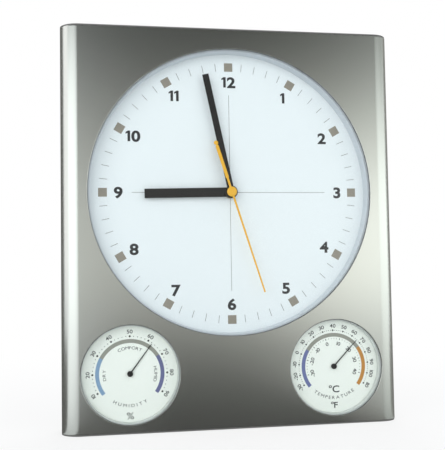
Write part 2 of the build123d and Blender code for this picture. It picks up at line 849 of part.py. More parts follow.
# Step wheel, between the rotor and the seconds wheel
with BuildPart() as step_wheel:
    with BuildSketch(layer(rear_pivot_end, *step_place)):
        round_bar(arbor_radius)
    extrude(amount=rear_pivot_end - plate_rear + front_pivot_length)
    with BuildSketch(layer(step_layer, *step_place)):
        toothed_face(step_pinion_teeth, step_pinion_radius, step_pinion_turn)
    extrude(amount=step_layer - seconds_layer + mesh_margin)
    with BuildSketch(layer(step_layer + wheel_thickness, *step_place)):
        toothed_face(step_wheel_teeth, step_wheel_radius, 0)
    extrude(amount=wheel_thickness)
save(step_wheel, "step_wheel")

# Rotor: arbor with pinion, and the round magnet in the eye of the stator
with BuildPart() as rotor_pinion:
    with BuildSketch(layer(rear_pivot_end, *rotor_place)):
        round_bar(arbor_radius)
    extrude(amount=rear_pivot_end - plate_rear + front_pivot_length)
    with BuildSketch(layer(step_layer + wheel_thickness + mesh_margin, *rotor_place)):
        toothed_face(rotor_pinion_teeth, rotor_pinion_radius, rotor_pinion_turn)
    extrude(amount=wheel_thickness + 2 * mesh_margin)
save(rotor_pinion, "rotor_pinion")

magnet_rear = third_layer + (stator_thickness + magnet_thickness) / 2
with BuildPart() as rotor_magnet:
    with BuildSketch(layer(magnet_rear, *rotor_place)):
        Circle(magnet_radius)
        round_hole(arbor_radius + press_gap, mode=Mode.SUBTRACT)
    extrude(amount=magnet_thickness)
save(rotor_magnet, "rotor_magnet")

# Stator: an upright bar with the rotor's eye and two arms to the coil core
rotor_x, rotor_z = rotor_place
arm_length = coil_axis_x + core_width / 2 - rotor_x
stator_top = clock_z + coil_high_z + stator_arm_width / 2 + core_fit
stator_bottom = clock_z + coil_low_z - stator_arm_width / 2 - core_fit
stator_eye = magnet_radius + stator_air_gap
with BuildPart() as stator:
    with BuildSketch(layer(third_layer + stator_thickness)):
        with Locations((rotor_x, (stator_top + stator_bottom) / 2)):
            Rectangle(stator_bar_width, stator_top - stator_bottom + stator_arm_width)
        with Locations(
            (rotor_x + arm_length / 2, stator_top),
            (rotor_x + arm_length / 2, stator_bottom),
        ):
            Rectangle(arm_length, stator_arm_width)
        with Locations(rotor_place):
            Circle(stator_eye + stator_eye_wall)
            Circle(stator_eye, mode=Mode.SUBTRACT)
    extrude(amount=stator_thickness)
save(stator, "stator")

# Coil: core strip, flanged bobbin and copper winding
core_rear = third_layer + stator_thickness + core_thickness
core_depth = core_rear - core_thickness / 2
core_reach = stator_arm_width + core_fit
with BuildPart() as coil_core:
    with BuildSketch(upright(coil_axis_x, core_depth, clock_z + coil_low_z - core_reach)):
        Rectangle(core_width, core_thickness)
    extrude(amount=coil_high_z - coil_low_z + 2 * core_reach)
save(coil_core, "coil_core")

with BuildPart() as coil_bobbin:
    with BuildSketch(upright(coil_axis_x, core_depth, clock_z + coil_low_z)):
        Rectangle(bobbin_tube_size, bobbin_tube_size)
    extrude(amount=coil_high_z - coil_low_z)
    for flange_z in (coil_low_z, coil_high_z - bobbin_flange_thickness):
        with BuildSketch(upright(coil_axis_x, core_depth, clock_z + flange_z)):
            Rectangle(bobbin_size, bobbin_size)
        extrude(amount=bobbin_flange_thickness)
    with BuildSketch(upright(coil_axis_x, core_depth, clock_z + coil_low_z)):
        Rectangle(core_width + 2 * core_fit, core_thickness + 2 * core_fit)
    extrude(amount=coil_high_z - coil_low_z, mode=Mode.SUBTRACT)
save(coil_bobbin, "coil_bobbin")

winding_z = clock_z + coil_low_z + bobbin_flange_thickness
with BuildPart() as coil_winding:
    with BuildSketch(upright(coil_axis_x, core_depth, winding_z)):
        Rectangle(winding_size, winding_size)
        Rectangle(
            bobbin_tube_size + 2 * press_gap, bobbin_tube_size + 2 * press_gap, mode=Mode.SUBTRACT
        )
    extrude(amount=coil_high_z - coil_low_z - 2 * bobbin_flange_thickness)
save(coil_winding, "coil_winding")

# Circuit board with its potted chip and quartz crystal
board_z = board_top - board_height / 2
with BuildPart() as circuit_board:
    with BuildSketch(layer(board_rear, board_left + board_width / 2, board_z)):
        Rectangle(board_width, board_height)
    extrude(amount=board_thickness)
save(circuit_board, "circuit_board")

chip_x = board_left + board_width - 2 * chip_radius
with BuildPart() as timing_chip:
    with BuildSketch(layer(board_rear + chip_height, chip_x, board_z)):
        Circle(chip_radius)
    extrude(amount=chip_height)
    chamfer(timing_chip.edges().filter_by(GeomType.CIRCLE).sort_by(Axis.Y)[-1], chip_edge)
save(timing_chip, "timing_chip")

crystal_x = board_left + 2 * crystal_radius
with BuildPart() as quartz_crystal:
    with BuildSketch(across(crystal_x, board_rear + crystal_radius, board_z)):
        Circle(crystal_radius)
    extrude(amount=crystal_length)
save(quartz_crystal, "quartz_crystal")

# Hand-setting knob: stub, pinion, stem and gripped head in one moulding
with BuildPart() as set_knob:
    with BuildSketch(layer(minute_layer, *knob_place)):
        round_bar(knob_stub_radius)
    extrude(amount=minute_layer - movement_inside + movement_wall / 4)
    with BuildSketch(layer(minute_layer + wheel_thickness + mesh_margin, *knob_place)):
        toothed_face(knob_pinion_teeth, centre_pinion_radius, knob_pinion_turn)
    extrude(amount=wheel_thickness + 2 * mesh_margin)
    with BuildSketch(layer(movement_rear + knob_clearance, *knob_place)):
        round_bar(knob_stem_radius)
    extrude(amount=movement_rear + knob_clearance - minute_layer - wheel_thickness)
    with BuildSketch(layer(movement_rear + knob_clearance + knob_height, *knob_place)):
        Circle(knob_radius)
        with PolarLocations(knob_radius + knob_grip_radius / 2, knob_grips):
            Circle(knob_grip_radius, mode=Mode.SUBTRACT)
    extrude(amount=knob_height)
save(set_knob, "set_knob")

# Battery on its side in the lower bay, nub to the right
bay_middle = clock_z - movement_half + movement_wall + bay_height / 2
bay_right = movement_half - movement_wall
battery_depth = movement_inside + battery_radius + mesh_margin
nub_tip = bay_right - contact_thickness
battery_right = nub_tip - battery_nub_length
battery_left = battery_right - battery_body_length
with BuildPart() as battery:
    with BuildSketch(across(battery_left, battery_depth, bay_middle)):
        Circle(battery_radius)
    extrude(amount=battery_body_length)
    chamfer(battery.edges().filter_by(GeomType.CIRCLE).sort_by(Axis.X)[-1], battery_edge)
    with BuildSketch(across(battery_right, battery_depth, bay_middle)):
        Circle(battery_nub_radius)
    extrude(amount=battery_nub_length)
save(battery, "battery")

with BuildPart() as battery_contact:
    with BuildSketch(across(nub_tip, battery_depth, bay_middle)):
        Rectangle(contact_width, contact_height)
    extrude(amount=contact_thickness)
save(battery_contact, "battery_contact")

# Leaf spring that bows against the flat end of the battery
leaf_foot = contact_thickness - bay_right
with BuildPart() as battery_spring:
    with BuildSketch(across(-bay_right, battery_depth, bay_middle)):
        Rectangle(contact_width, contact_height)
    extrude(amount=contact_thickness)
    with BuildSketch(layer(battery_depth + contact_width / 2, 0, bay_middle)):
        with BuildLine():
            Polyline(
                (leaf_foot, -leaf_half_height),
                (battery_left, 0),
                (leaf_foot, leaf_half_height),
                (leaf_foot, leaf_half_height - 2 * contact_thickness),
                (battery_left - contact_thickness, 0),
                (leaf_foot, -leaf_half_height + 2 * contact_thickness),
                close=True,
            )
        make_face()
    extrude(amount=contact_width)
save(battery_spring, "battery_spring")


def bar_hand(name, turn, hub_rear, size, hub_radius, pipe_radius):
    """Flat bar on a round hub, bored for the pipe that turns it."""
    length, width = size
    with BuildPart() as hand:
        with BuildSketch(layer(hub_rear, 0, clock_z)):
            Circle(hub_radius)
        extrude(amount=hub_height)
        with BuildSketch(layer(hub_rear - hand_gap, 0, clock_z, -turn)):
            with Locations((0, length / 2)):
                Rectangle(width, length)
        extrude(amount=hand_thickness)
        with BuildSketch(layer(hub_rear + cut_overrun, 0, clock_z)):
            Circle(pipe_radius + press_gap)
        extrude(amount=hub_height + 2 * cut_overrun, mode=Mode.SUBTRACT)
    save(hand, name)


hour_size = (hour_hand_length, hour_hand_width)
minute_size = (minute_hand_length, minute_hand_width)
bar_hand("hour_hand", hour_angle, hour_hub_rear, hour_size, hour_hub_radius, hour_pipe_radius)
bar_hand(
    "minute_hand", minute_angle, minute_hub_rear, minute_size, minute_hub_radius, minute_pipe_radius
)

# Second hand: needle, stepped tail with a round pad, and a bevelled cap
with BuildPart() as second_hand:
    with BuildSketch(layer(second_cap_rear, 0, clock_z)):
        Circle(second_cap_radius)
    extrude(amount=second_cap_height)
    chamfer(second_hand.edges().filter_by(GeomType.CIRCLE).sort_by(Axis.Y)[0], second_cap_edge)
    with BuildSketch(layer(second_cap_rear, 0, clock_z)):
        round_bar(2 * seconds_arbor_radius)
    extrude(amount=-hub_step)
    with BuildSketch(layer(second_hand_rear, 0, clock_z, -second_angle)):
        with BuildLine():
            Polyline(
                (-second_hand_root / 2, 0),
                (-second_hand_tip / 2, second_hand_length),
                (second_hand_tip / 2, second_hand_length),
                (second_hand_root / 2, 0),
                close=True,
            )
        make_face()
        with Locations((0, -(tail_length - tail_pad_radius) / 2)):
            Rectangle(tail_neck_width, tail_length - tail_pad_radius)
        with Locations((0, -(tail_start + tail_end) / 2)):
            Rectangle(tail_width, tail_end - tail_start)
        with Locations((0, tail_pad_radius - tail_length)):
            Circle(tail_pad_radius)
    extrude(amount=second_hand_thickness)
    with BuildSketch(layer(second_cap_rear + 2 * hub_step, 0, clock_z)):
        round_hole(seconds_arbor_radius + press_gap)
    extrude(amount=2 * hub_step + second_cap_height - second_cap_edge, mode=Mode.SUBTRACT)
save(second_hand, "second_hand")


def spiral_strip(inner_radius, pitch, thickness, half_turns):
    """Flat spiral of half turns about two alternating centres, in short straight steps."""
    centres = (0, pitch / 2)
    sides = []
    for side in (-thickness / 2, thickness / 2):
        points = []
        for step in range(half_turns * coil_steps + 1):
            half_turn = step // coil_steps
            radius = inner_radius + half_turn * pitch / 2 + side
            angle = radians(180 * step / coil_steps)
            points.append((centres[half_turn % 2] + radius * cos(angle), radius * sin(angle)))
        sides.append(points)
    with BuildLine() as strip:
        Polyline(*sides[0], *sides[1][::-1], close=True)
    make_face(strip.edges())


# Gauges: the same cup, dial, bimetal coil, staff and pointer on each side
coil_inner_radius = collet_radius + coil_collet_gap + coil_strip_thickness / 2
coil_end_radius = coil_inner_radius + coil_half_turns * coil_pitch / 2
coil_post_x = coil_end_radius + (coil_strip_thickness + coil_post_size) / 2 + pivot_gap
collet_front = gauge_dial_rear + collet_gap
coil_rear = collet_front + (collet_height + coil_strip_width) / 2
boss_front = gauge_floor - pivot_boss_height
staff_rear = boss_front + pivot_length
hub_rear = gauge_dial_front - pointer_clearance
hub_front = hub_rear - pointer_hub_height
shell_inner_radius = gauge_shell_radius - gauge_wall
for gauge_name, (x, z, pointer_turn) in gauge_places.items():
    with BuildPart() as cup:
        with BuildSketch(layer(gauge_rear, x, z)):
            Circle(gauge_shell_radius)
        extrude(amount=gauge_rear - glass_rear)
        with BuildSketch(layer(gauge_floor, x, z)):
            Circle(shell_inner_radius)
        extrude(amount=gauge_floor - glass_rear, mode=Mode.SUBTRACT)
        with BuildSketch(layer(gauge_floor, x, z)):
            with PolarLocations(shell_inner_radius - lug_size / 2, lug_count, lug_first_angle):
                Rectangle(lug_size, lug_size)
        extrude(amount=gauge_floor - gauge_dial_rear)
        with BuildSketch(layer(gauge_floor, x, z)):
            round_bar(pivot_boss_radius)
        extrude(amount=pivot_boss_height)
        with BuildSketch(layer(gauge_floor, x + coil_post_x, z)):
            Rectangle(coil_post_size, coil_post_size)
        extrude(amount=gauge_floor - coil_rear + coil_strip_width)
        with BuildSketch(layer(staff_rear + pivot_gap, x, z)):
            round_hole(staff_radius + pivot_gap)
        extrude(amount=pivot_length + pivot_gap, mode=Mode.SUBTRACT)
        with BuildSketch(layer(gauge_rear + cut_overrun, x, z)):
            with PolarLocations(gauge_vent_ring_radius, gauge_vent_count, gauge_vent_first_angle):
                Rectangle(gauge_vent_length, gauge_vent_width)
        extrude(amount=gauge_floor_thickness + 2 * cut_overrun, mode=Mode.SUBTRACT)
    save(cup, f"{gauge_name}_case")

    with BuildPart() as gauge_dial:
        with BuildSketch(layer(gauge_dial_rear, x, z)):
            Circle(shell_inner_radius - gauge_dial_fit)
            round_hole(staff_radius + pivot_gap, mode=Mode.SUBTRACT)
        extrude(amount=gauge_dial_thickness)
    save(gauge_dial, f"{gauge_name}_dial")

    with BuildPart() as coil:
        with BuildSketch(layer(coil_rear, x, z)):
            spiral_strip(coil_inner_radius, coil_pitch, coil_strip_thickness, coil_half_turns)
        extrude(amount=coil_strip_width)
    save(coil, f"{gauge_name}_coil")

    with BuildPart() as staff:
        with BuildSketch(layer(staff_rear, x, z)):
            round_bar(staff_radius)
        extrude(amount=staff_rear - hub_front - pointer_hub_height / 4)
        with BuildSketch(layer(collet_front + collet_height, x, z)):
            round_bar(collet_radius)
        extrude(amount=collet_height)
    save(staff, f"{gauge_name}_staff")

    with BuildPart() as pointer:
        with BuildSketch(layer(hub_rear, x, z)):
            Circle(pointer_hub_radius)
        extrude(amount=pointer_hub_height)
        with BuildSketch(layer(hub_rear - pointer_thickness, x, z, -pointer_turn)):
            with BuildLine():
                Polyline(
                    (-pointer_root_width / 2, 0),
                    (-pointer_tip_width / 2, pointer_length),
                    (pointer_tip_width / 2, pointer_length),
                    (pointer_root_width / 2, 0),
                    close=True,
                )
            make_face()
        extrude(amount=pointer_thickness)
        with BuildSketch(layer(hub_rear + cut_overrun, x, z)):
            round_hole(staff_radius + press_gap)
        extrude(amount=cut_overrun + 3 * pointer_hub_height / 4, mode=Mode.SUBTRACT)
    save(pointer, f"{gauge_name}_pointer")
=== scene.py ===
"""Looks of the wall clock: brushed front sheet, printed dials, hands, glass and black rear housing.

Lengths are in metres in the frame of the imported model: x right and z up as seen from the front,
y from the front to the wall.
"""

import json
import math

import bmesh
import bpy
from mathutils import Matrix, Vector


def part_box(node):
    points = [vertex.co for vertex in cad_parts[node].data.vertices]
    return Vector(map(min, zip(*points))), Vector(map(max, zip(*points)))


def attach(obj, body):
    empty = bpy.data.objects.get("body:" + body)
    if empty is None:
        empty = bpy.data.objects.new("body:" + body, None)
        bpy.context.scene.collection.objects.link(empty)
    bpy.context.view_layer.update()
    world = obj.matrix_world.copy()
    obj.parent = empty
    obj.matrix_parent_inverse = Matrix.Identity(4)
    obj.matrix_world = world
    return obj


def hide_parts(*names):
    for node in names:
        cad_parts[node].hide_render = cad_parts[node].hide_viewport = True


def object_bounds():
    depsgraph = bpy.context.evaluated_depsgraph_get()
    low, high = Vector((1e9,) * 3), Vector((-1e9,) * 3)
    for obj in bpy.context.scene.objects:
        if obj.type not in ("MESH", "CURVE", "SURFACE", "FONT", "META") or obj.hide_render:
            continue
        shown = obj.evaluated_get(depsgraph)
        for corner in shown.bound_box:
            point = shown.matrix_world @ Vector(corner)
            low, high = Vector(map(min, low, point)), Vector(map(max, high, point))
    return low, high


MM = 0.001

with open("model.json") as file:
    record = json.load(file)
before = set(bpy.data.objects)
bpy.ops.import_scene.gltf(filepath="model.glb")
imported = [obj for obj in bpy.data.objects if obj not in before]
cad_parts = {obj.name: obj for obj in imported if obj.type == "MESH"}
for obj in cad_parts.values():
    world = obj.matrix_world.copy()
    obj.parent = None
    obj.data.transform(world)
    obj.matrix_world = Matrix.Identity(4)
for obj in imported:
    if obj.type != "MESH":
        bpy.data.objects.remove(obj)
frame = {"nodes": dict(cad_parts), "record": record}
cad_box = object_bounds()
nodes = frame["nodes"]

# Camera fitted to the photograph, its angles in degrees
CAMERA_PLACE = Vector((-143.0, -742.6, 137.9)) * MM
CAMERA_YAW = -10.422
CAMERA_PITCH = 3.214
CAMERA_ROLL = 0.915
FOCAL_PIXELS = 829.6
LONG_SIDE_PIXELS = 450
SENSOR = 36.0
CLIP_START = 0.01
CLIP_END = 50.0

# Front sheet, its openings and the dark ring behind them, painted shade of the gap at each
# opening's edge
BEND_RADIUS = 15.0 * MM
LIP_RADIUS = 3.0 * MM
LIP_WIDTH = 6.0 * MM
SHEET_THICKNESS = 1.0 * MM
EDGE_ROUND = 0.3 * MM
EDGE_STEPS = 3
BEND_STEPS = 32
HOLDING_STRIP = 0.25 * MM
HOLDING_ROW = 0.5 * MM
LIP_STEPS = 6
HOLE_STEPS = 192
CLOCK_OPENING = 128.5 * MM
GAUGE_OPENING = 43.0 * MM
SHADE_RING_SHOW = 0.35 * MM
SHADE_RING_WIDTH = 0.5 * MM
SHADE_RING_THICKNESS = 0.09 * MM
WELD = 0.002 * MM

# Second hand, from its tip to the pad of its tail, and its domed cap, angles in degrees
SECOND_ANGLE = 162.4
SECOND_REACH = 94.96 * MM
SECOND_TAIL = 48.06 * MM
NEEDLE_TIP = 0.7 * MM
NEEDLE_ROOT = 0.95 * MM
TAIL_STEM = 1.0 * MM
TAIL_START = 14.0 * MM
TAIL_SHOULDER = 1.5 * MM
TAIL_WIDE = 1.5 * MM
TAIL_END = 43.0 * MM
TAIL_NECK = 0.8 * MM
PAD_OPENING = 24
TAIL_PAD = 2.0 * MM
PAD_STEPS = 16
HAND_REAR = 1.2 * MM
HAND_FRONT = 0.8 * MM
HAND_EDGE = 0.25 * MM
CAP_RADIUS = 4.5 * MM
CAP_REAR = 1.4 * MM
HUB_RADIUS = 1.0 * MM
HUB_REAR = 2.4 * MM
CAP_SIDE = 0.9 * MM
CAP_STEPS = 5

# Print on the dials, angles in degrees clockwise from the top
INK = 0.03 * MM
HOUR_ANGLE = 30
MINUTE_ANGLE = 6
FOOT_ANGLE = 180
SQUARE_RING = 114.8 * MM
SQUARE_SIZE = 7.8 * MM
MINUTE_TICK = 7.0 * MM
MINUTE_TICK_WIDTH = 0.45 * MM
NUMERAL_RING = 101.0 * MM
NUMERAL_HEIGHT = 9.6 * MM
NUMERAL_SPACING = 1.0 * MM
NUMERAL_WEIGHT = 0.035
STRETCH = 1.18
SCALE_WEIGHT = 0.014
CROSS_REACH = 89.0 * MM
CROSS_WIDTH = 0.4 * MM
ARC_INNER = 26.7 * MM
ARC_OUTER = 30.1 * MM
ARC_STEP_DEGREES = 3
SCALE_DOTS = 32.5 * MM
DOT_CORNERS = 12
SCALE_NUMBERS = 36.6 * MM
SCALE_NUMBER_HEIGHT = 3.2 * MM

# Hygrometer print: marks, words as text, angle and spacing, and the sign below them
HUMIDITY_MARKS = range(10, 91, 2)
MIDDLE_PERCENT = 50
DEGREES_PER_PERCENT = 3
HUMIDITY_DOT = 0.38 * MM
HUMIDITY_MAIN_DOT = 0.9 * MM
HUMIDITY_SPACING = 0.3 * MM
WORD_HEIGHT = 2.6 * MM
WORD_RING = 22.5 * MM
HUMIDITY_WORDS = (("COMFORT", 0, 0.45 * MM), ("DRY", -92, 0.7 * MM), ("HUMID", 92, 0.5 * MM))
HUMIDITY_WORD_HEIGHT = 2.7 * MM
HUMIDITY_WORD_RING = 27.5 * MM
HUMIDITY_WORD_SPACING = 1.8 * MM
PERCENT_HEIGHT = 5.8 * MM
PERCENT_DROP = 36.3 * MM

# Thermometer print: ticks as length and width, signs as height, place upwards and spacing
FAHRENHEIT_MARKS = range(-30, 111, 2)
FAHRENHEIT_START_ANGLE = -120
DEGREES_PER_FAHRENHEIT = 12 / 7
FAHRENHEIT_DOT = 0.33 * MM
FAHRENHEIT_MAIN_DOT = 0.8 * MM
TEMPERATURE_SPACING = 0.25 * MM
CELSIUS_MARKS = range(-30, 41, 2)
CELSIUS_ZERO_ANGLE = -15.8
DEGREES_PER_CELSIUS = 3.024
INNER_NUMBERS = 20.8 * MM
INNER_TICKS = 25.0 * MM
INNER_TICK = (0.9 * MM, 0.35 * MM)
INNER_MAIN_TICK = (1.6 * MM, 0.55 * MM)
CELSIUS_SIGN = (6.0 * MM, -20.6 * MM, 0.4 * MM)
FAHRENHEIT_SIGN = (5.2 * MM, -35.0 * MM, 0.3 * MM)
TEMPERATURE_WORD_HEIGHT = 2.8 * MM
TEMPERATURE_WORD_RING = 28.3 * MM
TEMPERATURE_WORD_SPACING = 1.2 * MM

# Looks: middle range of a noise texture, and the clear glass
TEXTURE_RANGE = (0.3, 0.7)
GLASS_TINT = (0.975, 0.99, 0.99, 1.0)
GLASS_ROUGHNESS = 0.03
GLASS_INDEX = 1.45
GLASS_SMUDGES = (0.8, 1.0)
GLASS_SMUDGE_SCALE = 30.0
GLASS_PREVIEW = (0.9, 0.95, 0.95, 0.15)
WHITE = (1.0, 1.0, 1.0, 1.0)


def shader_of(material):
    """The Principled shader of a material."""
    return material.node_tree.nodes["Principled BSDF"]


def new_material(name, colour, roughness, metallic=0.0, coat=0.0):
    """Material with a plain Principled shader."""
    material = bpy.data.materials.new(name)
    material.use_nodes = True
    shader = shader_of(material)
    shader.inputs["Base Color"].default_value = (*colour, 1.0)
    shader.inputs["Roughness"].default_value = roughness
    shader.inputs["Metallic"].default_value = metallic
    shader.inputs["Coat Weight"].default_value = coat
    material.diffuse_color = (*colour, 1.0)
    return material


def bare_material(name):
    """Material whose shaders are still to be made."""
    material = bpy.data.materials.new(name)
    material.use_nodes = True
    material.node_tree.nodes.remove(shader_of(material))
    return material


def maths(tree, operation, first, second):
    """Result of a maths node on two sockets or numbers."""
    node = tree.nodes.new("ShaderNodeMath")
    node.operation = operation
    for value, socket in zip((first, second), node.inputs):
        if isinstance(value, float):
            socket.default_value = value
        else:
            tree.links.new(value, socket)
    return node.outputs["Value"]


def mapped(tree, value, places, results=(0.0, 1.0)):
    """A value mapped from one range to another, and held at the ends."""
    node = tree.nodes.new("ShaderNodeMapRange")
    for socket, number in zip(("From Min", "From Max", "To Min", "To Max"), (*places, *results)):
        node.inputs[socket].default_value = number
    tree.links.new(value, node.inputs["Value"])
    return node.outputs["Result"]


def mixed(tree, share, first, second, output):
    """Leads the mix of two shaders to an output node."""
    mix = tree.nodes.new("ShaderNodeMixShader")
    tree.links.new(share, mix.inputs["Fac"])
    tree.links.new(first, mix.inputs[1])
    tree.links.new(second, mix.inputs[2])
    tree.links.new(mix.outputs["Shader"], output.inputs["Surface"])


def noise(material, scale, stretch=(1.0, 1.0, 1.0), detail=4.0):
    """Noise texture on object coordinates, stretched along an axis."""
    tree = material.node_tree
    place = tree.nodes.new("ShaderNodeTexCoord")
    mapping = tree.nodes.new("ShaderNodeMapping")
    mapping.inputs["Scale"].default_value = stretch
    texture = tree.nodes.new("ShaderNodeTexNoise")
    texture.inputs["Scale"].default_value = scale
    texture.inputs["Detail"].default_value = detail
    tree.links.new(place.outputs["Object"], mapping.inputs["Vector"])
    tree.links.new(mapping.outputs["Vector"], texture.inputs["Vector"])
    return texture.outputs["Fac"]


def vary_colour(material, value, colours):
    """Base colour that runs from dark to light with a texture's value."""
    ramp = material.node_tree.nodes.new("ShaderNodeValToRGB")
    for element, place, colour in zip(ramp.color_ramp.elements, TEXTURE_RANGE, colours):
        element.position = place
        element.color = (*colour, 1.0)
    material.node_tree.links.new(value, ramp.inputs["Fac"])
    material.node_tree.links.new(ramp.outputs["Color"], shader_of(material).inputs["Base Color"])


def vary_roughness(material, value, limits):
    """Roughness that runs from low to high with a texture's value."""
    tree = material.node_tree
    varied = mapped(tree, value, TEXTURE_RANGE, limits)
    tree.links.new(varied, shader_of(material).inputs["Roughness"])


def bump(material, value, strength, distance):
    """Bump from a texture's value."""
    node = material.node_tree.nodes.new("ShaderNodeBump")
    node.inputs["Strength"].default_value = strength
    node.inputs["Distance"].default_value = distance
    material.node_tree.links.new(value, node.inputs["Height"])
    material.node_tree.links.new(node.outputs["Normal"], shader_of(material).inputs["Normal"])


def tinted(colour, share):
    """A colour made darker or lighter by a share."""
    return tuple(min(1.0, channel * share) for channel in colour)


def grained(material, texture, colour, shares, relief, roughness=None):
    """Lets a texture vary a material: shares of its colour, relief as strength and depth in mm."""
    vary_colour(material, texture, [tinted(colour, share) for share in shares])
    if roughness:
        vary_roughness(material, texture, roughness)
    strength, depth = relief
    bump(material, texture, strength, depth * MM)


def brushed_metal(name, colour, roughness, grain, stretch, anisotropy=0.0):
    """Metal with fine parallel scratches."""
    material = new_material(name, colour, roughness, metallic=1.0)
    scratches = noise(material, grain, stretch, detail=3.0)
    grained(
        material,
        scratches,
        colour,
        shares=(0.992, 1.005),
        relief=(0.006, 0.05),
        roughness=(roughness - 0.006, roughness + 0.01),
    )
    if anisotropy:
        tangent = material.node_tree.nodes.new("ShaderNodeTangent")
        tangent.direction_type = "RADIAL"
        tangent.axis = "Z"
        shader = shader_of(material)
        shader.inputs["Anisotropic"].default_value = anisotropy
        material.node_tree.links.new(tangent.outputs["Tangent"], shader.inputs["Tangent"])
    return material


def moulded_plastic(name, colour, roughness, grain=2500.0, depth=0.02):
    """Moulded plastic with a fine spark-eroded texture, its depth in millimetres."""
    material = new_material(name, colour, roughness)
    grained(
        material,
        noise(material, grain),
        colour,
        shares=(0.92, 1.08),
        relief=(0.35, depth),
        roughness=(roughness - 0.05, roughness + 0.06),
    )
    return material


def painted(name, colour, roughness, coat=0.0):
    """Smooth paint or print with a faint orange-peel."""
    material = new_material(name, colour, roughness, coat=coat)
    texture = noise(material, 900.0, detail=2.0)
    grained(material, texture, colour, shares=(0.975, 1.02), relief=(0.06, 0.02))
    return material


def turned_metal(name, colour, roughness):
    """Small machined or stamped metal part."""
    material = new_material(name, colour, roughness, metallic=1.0)
    grained(
        material,
        noise(material, 3000.0, stretch=(1.0, 0.15, 1.0)),
        colour,
        shares=(0.88, 1.08),
        relief=(0.15, 0.01),
        roughness=(roughness - 0.06, roughness + 0.08),
    )
    return material


def clear_glass():
    """Flat clear glass: the dial shows through and the outer surface reflects a little."""
    material = bare_material("clear_glass")
    tree = material.node_tree
    see_through = tree.nodes.new("ShaderNodeBsdfTransparent")
    see_through.inputs["Color"].default_value = GLASS_TINT
    gloss = tree.nodes.new("ShaderNodeBsdfGlossy")
    gloss.inputs["Roughness"].default_value = GLASS_ROUGHNESS
    fresnel = tree.nodes.new("ShaderNodeFresnel")
    fresnel.inputs["IOR"].default_value = GLASS_INDEX
    side = tree.nodes.new("ShaderNodeNewGeometry")
    outer = maths(tree, "SUBTRACT", 1.0, side.outputs["Backfacing"])
    texture = noise(material, GLASS_SMUDGE_SCALE)
    smudges = mapped(tree, texture, TEXTURE_RANGE, GLASS_SMUDGES)
    faint = maths(tree, "MULTIPLY", fresnel.outputs["Fac"], smudges)
    share = maths(tree, "MULTIPLY", faint, outer)
    shaders = (see_through.outputs["BSDF"], gloss.outputs["BSDF"])
    mixed(tree, share, *shaders, tree.nodes["Material Output"])
    material.diffuse_color = GLASS_PREVIEW
    return material


aluminium = brushed_metal(
    "brushed_aluminium",
    (0.852, 0.872, 0.836),
    roughness=0.24,
    grain=60.0,
    stretch=(60.0, 60.0, 0.6),
    anisotropy=0.4,
)

# Material of each slot of the record
SLOT_MATERIALS = {
    "front_sheet": aluminium,
    "end_cap": moulded_plastic("cap_plastic", (0.13, 0.13, 0.125), 0.45, 1800.0, 0.02),
    "housing": moulded_plastic("black_abs", (0.022, 0.022, 0.024), 0.5, 1800.0, 0.05),
    "chassis": moulded_plastic("grey_abs", (0.05, 0.05, 0.053), 0.55, 1800.0, 0.05),
    "glass": clear_glass(),
    "ring": moulded_plastic("ring_plastic", (0.60, 0.63, 0.67), 0.32, 1500.0, 0.01),
    "dial_white": painted("dial_white", (0.85, 0.875, 0.89), 0.55),
    "gauge_dial": painted("gauge_dial_white", (0.92, 0.93, 0.87), 0.6),
    "gauge_case": moulded_plastic("shell_plastic", (0.66, 0.68, 0.66), 0.3, 1500.0, 0.01),
    "hand_black": painted("hand_black", (0.022, 0.019, 0.019), 0.38),
    "hand_amber": painted("hand_amber", (0.86, 0.45, 0.03), 0.35),
    "bimetal": turned_metal("bimetal", (0.62, 0.50, 0.34), 0.35),
    "steel": turned_metal("zinc_steel", (0.58, 0.57, 0.54), 0.35),
    "dark_steel": turned_metal("black_steel", (0.09, 0.09, 0.09), 0.45),
    "brass": turned_metal("brass", (0.72, 0.50, 0.20), 0.3),
    "movement": moulded_plastic("movement_black", (0.016, 0.016, 0.017), 0.38, 2600.0, 0.02),
    "movement_plate": moulded_plastic("acetal_plate", (0.74, 0.73, 0.66), 0.42),
    "gear": moulded_plastic("acetal_gear", (0.80, 0.78, 0.70), 0.36),
    "battery": painted("battery_sleeve", (0.05, 0.055, 0.065), 0.3, coat=0.5),
    "contact": turned_metal("nickel_steel", (0.66, 0.64, 0.58), 0.28),
    "board": painted("solder_mask", (0.02, 0.12, 0.05), 0.3, coat=0.4),
    "potting": painted("epoxy", (0.012, 0.012, 0.012), 0.2, coat=0.3),
    "copper": brushed_metal("copper_wire", (0.62, 0.24, 0.09), 0.3, 400.0, (1.0, 1.0, 12.0)),
    "iron": turned_metal("soft_iron", (0.38, 0.38, 0.39), 0.4),
    "magnet": turned_metal("magnet", (0.20, 0.19, 0.19), 0.5),
}

for entry in frame["record"]["subparts"]:
    cad_object = nodes[entry["node"]]
    for material_slot in cad_object.material_slots:
        material_slot.material = SLOT_MATERIALS[entry["material_slot"]]


def piece(name, mesh_maker, material, body, slot, *replaced):
    """New object from a bmesh, riding on a body."""
    mesh = bpy.data.meshes.new(name)
    mesh_maker.to_mesh(mesh)
    mesh_maker.free()
    mesh.materials.append(material)
    made = bpy.data.objects.new(name, mesh)
    bpy.context.scene.collection.objects.link(made)
    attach(made, body)
    if replaced:
        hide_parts(*replaced)


def arc_points(centre_x, centre_y, radius, start, end, steps):
    """Points of an arc in the plan of the case."""
    points = []
    for step in range(steps + 1):
        angle = math.radians(start + (end - start) * step / steps)
        points.append((centre_x + radius * math.cos(angle), centre_y + radius * math.sin(angle)))
    return points


